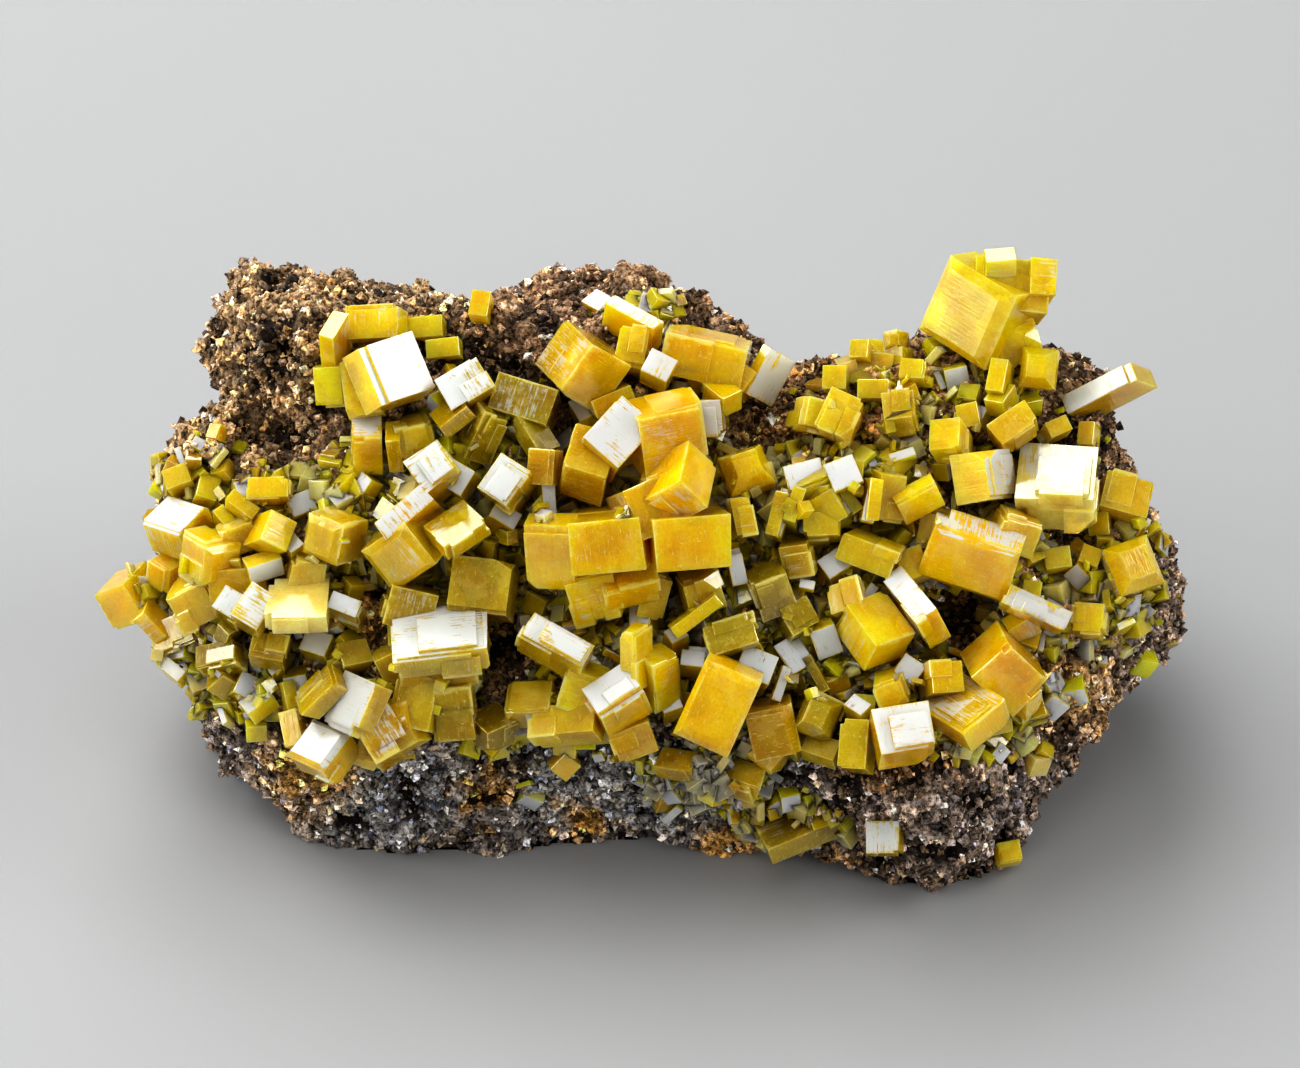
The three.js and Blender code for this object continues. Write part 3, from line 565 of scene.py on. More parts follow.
# These break up the frost and its painted white glint over a face.
GLINT_BLOCKS = (0.33, -0.3, 0.12)
GLINT_RAGGED = (0, 1, -0.7, 0.7)
GLINT_LINES = (0, 1, -0.8, 0.8)
# The painted glint and the frost are thinner towards a face's edge.
GLINT_RIM = (0.82, 1.0, 0.0, 0.3)  # frost is thinner towards a face's edge
GLINT_RANGE = (0.4, 0.62)
GLINT_STRENGTH = (0.25, 0.75, 0.4, 0.95)
FROST_ROUGHNESS = (0, 1, 0.05, 0.28)
RELIEF = 0.02 * MM
MOSAIC_RELIEF = 0.05 * MM


def blocks_of(tree, flat, scale, least, most):
    """A random value from least to most for each block of a pattern of squarish blocks on a flat map."""
    values = {"Vector": flat, "Scale": scale}
    node = node_of(tree, "TexVoronoi", values, voronoi_dimensions="2D", distance="CHEBYCHEV")
    parts = node_of(tree, "SeparateColor", {0: node.outputs["Color"]})
    return ranged(tree, parts.outputs[0], 0, 1, least, most)


def along_growth(tree, growth, scale, turn, octaves, roughness):
    """A noise over the growth map, scaled and turned."""
    turned = node_of(tree, "Mapping", {"Vector": growth, "Scale": scale, "Rotation": (0, 0, turn)})
    return noise(tree, turned.outputs["Vector"], 1.0, octaves, roughness)


def stretched(tree, place, pattern, limits):
    """A noise over a coordinate, stretched."""
    return ranged(tree, noise(tree, place, *pattern), *limits)


wulfenite, shader, tree, place = painted("wulfenite", {
    "Roughness": 0.07,
    "IOR": CRYSTAL_IOR,
    "Specular IOR Level": CRYSTAL_GLOSS,
    "Transmission Weight": CRYSTAL_CLEARNESS,
    "Subsurface Weight": CRYSTAL_GLOW,
    "Subsurface Radius": GLOW_REACH,
    "Subsurface Scale": MM,
})
absorb = node_of(tree, "VolumeAbsorption", {"Color": (*AMBER, 1), "Density": AMBER_DENSITY})
tree.links.new(absorb.outputs["Volume"], tree.nodes["Material Output"].inputs["Volume"])
tint = node_of(tree, "Attribute", {}, attribute_name="tint").outputs["Color"]
# How far each face is frosted and painted white as a glint.
frost_and_glint = node_of(tree, "Attribute", {}, attribute_name="frost_and_glint").outputs["Fac"]
within, growth = (node_of(tree, "UVMap", {}, uv_map=name).outputs["UV"] for name in ("within", "growth"))
lines = along_growth(tree, growth, *GROWTH_LINES)
ragged = noise(tree, place, *RAGGED)
cloudy = mixed(tree, stretched(tree, place, *ZONES), *ZONE_SHADES)
grain = stretched(tree, place, *GRAIN)
# Blocks of brighter and darker body: painted reflections from inner planes, and a relief.
mosaic_relief_and_reflection = blocks_of(tree, growth, *MOSAIC)
striped = sum_of(tree, "MULTIPLY", ranged(tree, lines, *LINE_RANGE), mosaic_relief_and_reflection)
shading = sum_of(tree, "MULTIPLY", grain, striped)
inner = mixed(tree, 1.0, mixed(tree, 1.0, tint, cloudy, "MULTIPLY"), shading, "MULTIPLY")
apart = node_of(tree, "SeparateXYZ", {0: within})
out_x, out_y = (sum_of(tree, "ABSOLUTE", apart.outputs[i], 0) for i in range(2))
outer = sum_of(tree, "MAXIMUM", out_x, out_y)
outer = sum_of(tree, "ADD", outer, ranged(tree, ragged, *RIM_RAGGED))
# Pale rims along each face's edges: a painted highlight.
marks = ranged(tree, outer, *RIM_HIGHLIGHT_RANGE)
scratch = ranged(tree, along_growth(tree, growth, *SCRATCHES), *SCRATCH_RANGE)
for mark in (stretched(tree, place, *VEILS), stretched(tree, place, *FLECKS), scratch):
    marks = sum_of(tree, "MAXIMUM", marks, mark)
# Rims painted pale as a highlight, and pale veils, flecks and scratches.
inner = mixed(tree, marks, inner, PALE_FLECKS_AND_RIM_HIGHLIGHT)
# The painted glint: white over the frosted faces, broken by growth lines, ragged patches and blocks.
etched_glint = sum_of(tree, "ADD", frost_and_glint, ranged(tree, lines, *GLINT_LINES))
etched_glint = sum_of(tree, "ADD", etched_glint, ranged(tree, ragged, *GLINT_RAGGED))
etched_glint = sum_of(tree, "ADD", etched_glint, blocks_of(tree, growth, *GLINT_BLOCKS))
etched_glint = sum_of(tree, "SUBTRACT", etched_glint, ranged(tree, outer, *GLINT_RIM))
strength = ranged(tree, frost_and_glint, *GLINT_STRENGTH)
painted_glint = sum_of(tree, "MULTIPLY", ranged(tree, etched_glint, *GLINT_RANGE), strength)
skin = mixed(tree, painted_glint, inner, GLINT_WHITE)
skin.node.clamp_result = True
tree.links.new(skin, shader.inputs["Base Color"])
tree.links.new(ranged(tree, painted_glint, *FROST_ROUGHNESS), shader.inputs["Roughness"])
bumped(tree, shader, noise(tree, place, *RIPPLE), RELIEF, 0.5)
bumped(tree, shader, lines, RELIEF, 0.8)
bumped(tree, shader, mosaic_relief_and_reflection, MOSAIC_RELIEF, 0.5)

# ---------------------------------------------------------------- the big crystals
# Each crystal of the joined solids is found again by its faces, which meet along outward edges. It is made
# anew with growth steps, grown-on blocks, a chipped corner and worn edges, and joined to its neighbours.
EDGE_WEAR = 0.06 * MM
# Worn edges are frosted and painted pale by this much, a painted highlight along them.
EDGE_HIGHLIGHT = 0.3
WORN_ABOVE = math.radians(20)  # edges that turn by more than this are worn
SAME_PLANE, FLAT_EDGE = 0.004, 0.01  # radians between triangles of one face, and over an edge that is no rim
ROCK_REACH = 0.45 * MM  # a face whose corners are all this near to the rock is a broken root
ROOT_GROWTH = 1.2 * MM  # roots go on into the rock by this much
TAPER = 0.07  # how much narrower one end of a crystal may be than the other
SLIVER = 0.5 * MM * MM  # what has less surface than this isn't taken for a crystal
SIDE_AREA = 0.1 * MM * MM  # smaller faces don't say where a crystal ends
CUT_AREA = 0.15 * MM * MM  # nor do smaller slanting ones cut it
ON_HULL = 0.03 * MM  # how far a crystal may stand out past a face that cuts it
# Cosines between normals and axes: of faces that are square to each other, that are one side, that don't
# slant, and that have the haze of their side.
SQUARE, SAME_SIDE, UNSLANTED, SIDE_REFLECTION_HAZED = 0.02, 0.999, 0.995, 0.98
STEPPED_OVER = 1.5 * MM  # crystals smaller than this stay plain
GROWN_WITHIN = 6 * MM  # nothing grows on to the outermost crystals, which give the specimen its reach
# Least and most of a random size: in mm, or as a share of the crystal's own size. Counts stay below the most.
STEP_COUNT, STEP_DEPTH, STEP_WIDTH = (1, 3), (0.12, 0.5), (0.06, 0.16)
NOTCH_DEPTH = (0.5, 2.5)
NOTCH_SHARE = 0.45  # of the steps are notches down a corner
GROWN_COUNT, GROWN_STAND, GROWN_SIZE = (0, 4), (0.08, 0.26), (0.35, 0.85)
GROWN_INSET = 0.12  # of its size, from an edge that a grown-on block doesn't reach past
PAST_EDGE_SHARE = 0.6
CHIP_DEPTH = (0.1, 0.28)
CHIP_SIZE = 4 * MM  # of the block that takes it off
CHIP_SKEW = 0.5
CHIPPED_SHARE = 0.5  # of the crystals have a chip
# Some faces have a broken haze of frost painted pale, a painted reflection.
REFLECTION_HAZE_SHARE = 0.24  # of the faces have a broken haze of frost
REFLECTION_HAZE = (0.15, 0.5)  # its least and greatest strength
TINT_SPREAD = (0.12, 0.03)  # of a crystal's brightness and of its hue
step_chance = np.random.default_rng(5)

GOLD = (0.9, 0.62, 0.002)
ORANGE = (0.96, 0.6, 0.001)
OLIVE = (0.47, 0.34, 0.01)
LEMON = (0.78, 0.58, 0.006)
CREAM = (0.86, 0.7, 0.22)
# The olive patches lie over crystals in recesses and are darker there: partly their own olive hue, partly
# painted shade.
CRYSTAL_PATCHES = [
    ((0, 5), (8, 9), ORANGE),
    ((30, 0), (7, 6), ORANGE),
    ((28, 21), (7, 6), (0.82, 0.65, 0.002)),
    ((5, -11), (4, 5), ORANGE),
    ((-18, -3), (7, 4), OLIVE),
    ((-12, 11), (5, 4), OLIVE),
    ((-14, -13), (6, 3), OLIVE),
    ((-31, -7), (6, 3), OLIVE),
    ((10, -4), (4, 6), OLIVE),
    ((15, -12), (4, 4), OLIVE),
    ((18, 5), (5, 4), LEMON),
    ((18, 14), (6, 5), LEMON),
    ((-28, -3), (3, 2), CREAM),
    ((34, 6), (4, 3), CREAM),
    ((30, -9), (4, 4), ORANGE),
    ((20, -5), (4, 4), GOLD),
    ((3, -17), (6, 2.5), (0.5, 0.34, 0.01)),
    ((12, -22.5), (6, 4), (0.5, 0.34, 0.03)),
]


def crystal_groups(made):
    """Lists of the faces that meet along outward edges, one for a crystal, without those on the rock."""
    near = {v: plain_rock_tree.find_nearest(v.co)[3] < ROCK_REACH for v in made.verts}
    left = {f for f in made.faces if not all(near[v] for v in f.verts)}
    groups = []
    for start in sorted(left, key=lambda f: (-f.calc_area(), f.index)):
        if start not in left:
            continue
        left.discard(start)
        group, edge_on = [start], [start]
        while edge_on:
            face = edge_on.pop()
            for edge in face.edges:
                for other in edge.link_faces:
                    if other in left and (edge.is_convex or edge.calc_face_angle(0) < FLAT_EDGE):
                        left.discard(other)
                        group.append(other)
                        edge_on.append(other)
        groups.append(group)
    return groups


def crystal_frame(group):
    """Axes of a square crystal: the normal of its broadest face is last, that of the next face is first."""
    by_area = sorted(group, key=lambda f: -f.calc_area())
    broad = by_area[0].normal.normalized()
    beside = [f.normal for f in by_area if abs(f.normal.dot(broad)) < SQUARE]
    side = beside[0] if beside else broad.orthogonal()
    side = (side - side.dot(broad) * broad).normalized()
    return np.array([side, broad.cross(side), broad])


def block_between(axes, low, high, narrower=(1, 1, 1)):
    """A bmesh of the block between two corners in a crystal's axes, narrower at its outer end and a side."""
    made = bmesh.new()
    bmesh.ops.create_cube(made, size=1)
    for corner in made.verts:
        if corner.co.z > 0:
            corner.co.x *= narrower[0]
            corner.co.y *= narrower[1]
        elif corner.co.x > 0:
            corner.co.y *= narrower[2]
    place = Matrix.Identity(4)
    for i in range(3):
        place.col[i][:3] = axes[i] * (high[i] - low[i])
    place.col[3][:3] = ((low + high) / 2) @ axes
    bmesh.ops.transform(made, matrix=place, verts=made.verts)
    return made


def whole_crystal(group):
    """A bmesh of the crystal: the box round its faces, cut by those faces that aren't square to its axes."""
    axes = crystal_frame(group)
    corners = np.array([v.co for f in group for v in f.verts])
    spans = corners @ axes.T
    low, high = spans.min(0), spans.max(0)
    for i in range(3):
        aligned = [f.normal.dot(Vector(axes[i])) for f in group if f.calc_area() > SIDE_AREA]
        inward = Vector(axes[i])
        middle = Vector(((low + high) / 2) @ axes)
        rockward = plain_rock_tree.find_nearest(middle)[0] - middle
        if not any(a > SAME_SIDE for a in aligned) and rockward.dot(inward) > 0:
            high[i] += ROOT_GROWTH
        if not any(a < -SAME_SIDE for a in aligned) and rockward.dot(inward) < 0:
            low[i] -= ROOT_GROWTH
    made = block_between(axes, low, high, 1 - TAPER * step_chance.uniform(size=3))
    for face in group:
        slant = np.abs(axes @ np.array(face.normal))
        behind = (corners - np.array(face.verts[0].co)) @ np.array(face.normal)
        if slant.max() < UNSLANTED and face.calc_area() > CUT_AREA and behind.max() < ON_HULL:
            parts = made.verts[:] + made.edges[:] + made.faces[:]
            cut = bmesh.ops.bisect_plane(
                made, geom=parts, plane_co=face.verts[0].co, plane_no=face.normal, clear_outer=True
            )
            rim = [e for e in cut["geom_cut"] if isinstance(e, bmesh.types.BMEdge)]
            bmesh.ops.contextual_create(made, geom=rim)
    bmesh.ops.recalc_face_normals(made, faces=made.faces)
    return made, axes, low, high


def face_values(mesh, name, values):
    """A number, whole number or colour for each face of a mesh, as a new attribute."""
    kind = "FLOAT_COLOR" if np.ndim(values) == 2 else "INT" if values.dtype == np.int32 else "FLOAT"
    made = mesh.attributes.new(name, kind, "FACE")
    made.data.foreach_set("color" if np.ndim(values) == 2 else "value", values.ravel())


def changed(piece, operation, other):
    """Adds a boolean operation with another object to a piece."""
    change = piece.modifiers.new(operation, "BOOLEAN")
    change.operation = operation
    change.solver = "MANIFOLD"
    change.object = other
    other.hide_render = True


def worn(piece, grown_on, taken_off):
    """The mesh of a crystal with some boxes grown on, others taken off, and its edges worn, frosted and
    painted pale as a highlight.
    """
    piece.data.materials.append(piece.data.materials[0])
    for box in grown_on:
        changed(piece, "UNION", box)
    for box in taken_off:
        changed(piece, "DIFFERENCE", box)
    bevel = piece.modifiers.new("worn_edges", "BEVEL")
    bevel.width = EDGE_WEAR
    bevel.segments = 1
    bevel.limit_method = "ANGLE"
    bevel.angle_limit = WORN_ABOVE
    bevel.material = 1
    mesh = settled(piece)
    marks = values_of(mesh.polygons, "material_index", np.int32)
    # The worn edge faces get the painted highlight.
    face_values(mesh, "frost_and_glint", EDGE_HIGHLIGHT * marks.astype(np.float32))
    mesh.polygons.foreach_set("material_index", np.zeros(len(marks), np.int32))
    return mesh


def growth_steps(low, high):
    """Boxes to be taken off a crystal, as low and high corners in its own axes: a step along one rim of its
    broad face or a notch down one of its corners."""
    size = high - low
    boxes = []
    for _ in range(int(step_chance.integers(*STEP_COUNT))):
        notch = step_chance.uniform() < NOTCH_SHARE
        side = int(step_chance.integers(0, 2))
        inner, outer = low - 0.5 * MM, high + 0.5 * MM
        inner[2] = high[2] - step_chance.uniform(*(NOTCH_DEPTH if notch else STEP_DEPTH)) * MM
        for axis in (side, 1 - side) if notch else (side,):
            width = size[axis] * step_chance.uniform(*STEP_WIDTH)
            if step_chance.uniform() < 0.5:
                inner[axis] = high[axis] - width
            else:
                outer[axis] = low[axis] + width
        boxes.append((inner, outer))
    return boxes


def parallel_growth(low, high):
    """Blocks that have grown on to a crystal in its own direction and stand out of it by a hair, as low and
    high corners in its own axes: each is under one side and may reach past one or two of its edges."""
    boxes = []
    for _ in range(int(step_chance.integers(*GROWN_COUNT))):
        out = int(step_chance.choice([2, 2, 0, 1]))
        inner, outer = low.copy(), high.copy()
        for axis in range(3):
            stand = step_chance.uniform(*GROWN_STAND) * MM
            size = high[axis] - low[axis]
            share = step_chance.uniform(*GROWN_SIZE)
            at_start = step_chance.uniform() < 0.5
            past_edge = stand * (step_chance.uniform() < PAST_EDGE_SHARE)
            if axis == out:
                outer[axis] = high[axis] + stand
                inner[axis] = high[axis] - share * size
            elif at_start:
                inner[axis] = low[axis] - past_edge if past_edge else low[axis] + GROWN_INSET * size
                outer[axis] = inner[axis] + share * size
            else:
                outer[axis] = high[axis] + past_edge if past_edge else high[axis] - GROWN_INSET * size
                inner[axis] = outer[axis] - share * size
        boxes.append((inner, outer))
    return boxes


def chip(axes, low, high):
    """A block set askew over an outer corner, to take a chip off it: its axes, low and high corners."""
    ends = np.where(step_chance.uniform(size=3) < 0.5, low, high)
    ends[2] = high[2]
    corner = ends @ axes
    away = Vector(corner - ((low + high) / 2) @ axes).normalized()
    away = (away + Vector(step_chance.uniform(-CHIP_SKEW, CHIP_SKEW, 3))).normalized()
    right = away.orthogonal().normalized()
    skewed = np.array([right, away.cross(right), away])
    depth = step_chance.uniform(*CHIP_DEPTH) * (high - low).min()
    at = skewed @ corner
    return skewed, at - np.array([CHIP_SIZE, CHIP_SIZE, depth]), at + CHIP_SIZE


def box_object(axes, low, high):
    """A box object between two corners in a crystal's axes."""
    made = block_between(axes, low, high)
    bmesh.ops.recalc_face_normals(made, faces=made.faces)
    return object_of("step", made, wulfenite)


reflection_haze_chance = np.random.default_rng(8)
chance = np.random.default_rng(11)
all_frames, all_boxes, all_reflection_hazes = [], [], []


def reflection_haze_of(count):
    """The frost and painted reflection of some faces: none on most of them, a random haze on the others."""
    return np.where(reflection_haze_chance.uniform(size=count) < REFLECTION_HAZE_SHARE, reflection_haze_chance.uniform(*REFLECTION_HAZE, count), 0)


def dressed(group):
    """A crystal from its faces, as an object whose faces hold its tint and its number in the lists above."""
    crystal, axes, low, high = whole_crystal(group)
    middle = ((low + high) / 2) @ axes
    single = object_of("crystal", crystal, wulfenite)
    grown_on, taken_off = [], []
    if (high - low).min() > STEPPED_OVER:
        taken_off = [box_object(axes, *box) for box in growth_steps(low, high)]
        if step_chance.uniform() < CHIPPED_SHARE:
            taken_off.append(box_object(*chip(axes, low, high)))
        margin = np.minimum(middle - np.array(cad_low), np.array(cad_high) - middle)
        inside = margin.min() > GROWN_WITHIN
        grown_on = [box_object(axes, *box) for box in parallel_growth(low, high) if inside]
    mesh = worn(single, grown_on, taken_off)
    for box in grown_on + taken_off:
        bpy.data.objects.remove(box)
    hue = blended(on_face(middle[None]), CRYSTAL_PATCHES, GOLD)[0]
    hue = hue * (1 + TINT_SPREAD[0] * chance.standard_normal())
    hue = np.clip(hue * (1 + TINT_SPREAD[1] * chance.standard_normal(3)), 0.001, 0.95)
    count = len(mesh.polygons)
    face_values(mesh, "tint", np.tile([*hue, 1], (count, 1)).astype(np.float32))
    face_values(mesh, "crystal", np.full(count, len(all_frames), np.int32))
    all_frames.append(axes)
    all_boxes.append((low, high))
    all_reflection_hazes.append(reflection_haze_of(6))
    return single


def flat_map(mesh, name, places):
    """A UV map from a row of two numbers for each face corner."""
    mesh.uv_layers.new(name=name).data.foreach_set("uv", places.astype(np.float32).ravel())


def reflection_hazed_and_mapped(mesh):
    """Puts the haze of frost and painted reflection on the six sides of each crystal of a joined mesh, and
    makes its maps growth and within.
    A corner's place on them is its place along the two axes of its crystal that its face spreads along."""
    number = values_of(mesh.attributes["crystal"].data, "value", np.int32)
    frames = np.array(all_frames)[number]
    facing = np.einsum("fij,fj->fi", frames, triples_of(mesh.polygon_normals, "vector"))
    lying = np.abs(facing).argmax(1)
    towards = np.take_along_axis(facing, lying[:, None], 1)[:, 0]
    reflection_hazy = np.array(all_reflection_hazes)[number, lying + 3 * (towards > 0)] * (np.abs(towards) > SIDE_REFLECTION_HAZED)
    frost_and_glint = mesh.attributes["frost_and_glint"].data
    frost_and_glint.foreach_set("value", np.maximum(values_of(frost_and_glint, "value"), reflection_hazy).astype(np.float32))
    owner = np.repeat(np.arange(len(number)), values_of(mesh.polygons, "loop_total", np.int32))
    at = triples_of(mesh.vertices, "co")[values_of(mesh.loops, "vertex_index", np.int32)]
    spans = np.einsum("ij,ikj->ik", at, frames[owner])
    boxes = np.array(all_boxes)[number[owner]]
    sides = np.stack([np.where(lying == 0, 1, 0), np.where(lying == 2, 1, 2)], 1)[owner]
    flat, lows, highs = (np.take_along_axis(a, sides, 1) for a in (spans, boxes[:, 0], boxes[:, 1]))
    flat_map(mesh, "growth", flat / MM)
    flat_map(mesh, "within", (2 * flat - lows - highs) / (highs - lows))


for node in sorted(frame["nodes"]):
    if node == "matrix":
        continue
    made = merged(node)
    bmesh.ops.dissolve_limit(made, angle_limit=SAME_PLANE, verts=made.verts, edges=made.edges)
    groups = crystal_groups(made)
    grown, *others = [dressed(group) for group in groups if sum(f.calc_area() for f in group) >= SLIVER]
    made.free()
    for single in others:
        changed(grown, "UNION", single)
    reflection_hazed_and_mapped(settled(grown))
    grown.name = node.replace("crystals", "wulfenite")
    for single in others:
        bpy.data.objects.remove(single)
    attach(grown, "root")
    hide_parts(node)

# ---------------------------------------------------------------- the frosted faces, painted white as a glint
# Some faces are etched all over and painted white as a glint, with the terraces and worn edges that go with
# them. Each is found by a look through a point on the crystal face. Each row: the point in mm, and how far it
# is frosted and painted white.
TERRACE_REACH = 3.5 * MM
TERRACE_DROP = 1.0 * MM
# Worn edges this near to a frosted face are painted white with its glint.
RIM_DROP = 0.3 * MM  # the worn edges that are this near to a frosted face are frosted with it
TERRACE_ALIKE, RIM_ALIKE = 0.99, 0.6  # least cosines between their normals and that of the face
FROSTED_GLINT_FACES = [
    (-38.8, 3.9, 0.98),
    (-33.3, -4.3, 0.75),
    (-24.6, -3.6, 0.9),
    (-23.3, -12.1, 0.95),
    (-26.3, -15.4, 0.95),
    (-28.3, -15.4, 0.95),
    (-16.7, -6.7, 0.95),
    (-19.8, 3.9, 0.95),
    (-16.7, 7.5, 0.9),
    (-11.3, 6.5, 0.9),
    (-14.2, 14.2, 0.95),
    (-20.2, 15.2, 0.95),
    (-21.8, 10.8, 0.8),
    (1.6, 16.5, 0.95),
    (10.4, 15, 0.95),
    (6, 11.8, 0.8),
    (-2.1, 10.4, 0.9),
    (-6.7, -5.7, 0.9),
    (-2.2, -11, 0.95),
    (21.7, -13.8, 0.95),
    (37.5, 14, 0.85),
    (35, 7.5, 0.6),
    (30, 7.1, 0.9),
    (28.6, 3.2, 0.7),
    (20, -22.7, 0.9),
    (27.1, -11.7, 0.6),
    (22.1, -4.2, 0.9),
    (6.6, 14, 0.8),
    (33.1, -3.2, 0.75),
    (-19.6, -2.8, 0.4),
    (0.2, 20, 0.6),
]


def tree_of(mesh):
    """A search tree of a mesh's faces."""
    solid = bmesh.new()
    solid.from_mesh(mesh)
    tree = BVHTree.FromBMesh(solid)
    solid.free()
    return tree


crystal_pieces = [o for o in bpy.context.collection.objects if o.name.startswith("wulfenite_")]
crystal_trees = [tree_of(piece.data) for piece in crystal_pieces]
# Each listed face, its terraces and its nearby worn edges are frosted and painted white as a glint.
for x, y, strength in FROSTED_GLINT_FACES:
    sight = (to_world @ Vector((x * MM, y * MM, 0)) - view.location).normalized()
    hits = [tree.ray_cast(view.location, sight) for tree in crystal_trees]
    seen = [(hit[3], i, hit[2]) for i, hit in enumerate(hits) if hit[0] is not None]
    if not seen:
        continue
    _, i, face = min(seen)
    mesh = crystal_pieces[i].data
    number = values_of(mesh.attributes["crystal"].data, "value", np.int32)
    normals = triples_of(mesh.polygon_normals, "vector")
    centres = triples_of(mesh.polygons, "center")
    apart = centres - centres[face]
    beside = (np.linalg.norm(apart, axis=1) < TERRACE_REACH) & (np.abs(apart @ normals[face]) < TERRACE_DROP)
    alike = normals @ normals[face]
    painted_whiter = ((number == number[face]) | beside) & (alike > TERRACE_ALIKE)
    painted_whiter |= (number == number[face]) & (alike > RIM_ALIKE) & (np.abs(apart @ normals[face]) < RIM_DROP)
    frost_and_glint_values = values_of(mesh.attributes["frost_and_glint"].data, "value")
    mesh.attributes["frost_and_glint"].data.foreach_set("value", np.where(painted_whiter, np.float32(strength), frost_and_glint_values))

# ---------------------------------------------------------------- the small crystals
# Crystals of 1 to 3 mm that stand between the big ones. Each row, in mm and degrees: middle on the face,
# height of its top over the rock, width, length and thickness, which way and how far its broad face leans,
# and its turn.
SMALL_WEAR = 0.04
MOST_WEAR = 0.2  # of a block's smallest size
SMALL_TOP = 4.2  # none stands higher over the rock
SMALL_SPREAD = 0.1  # of their brightness
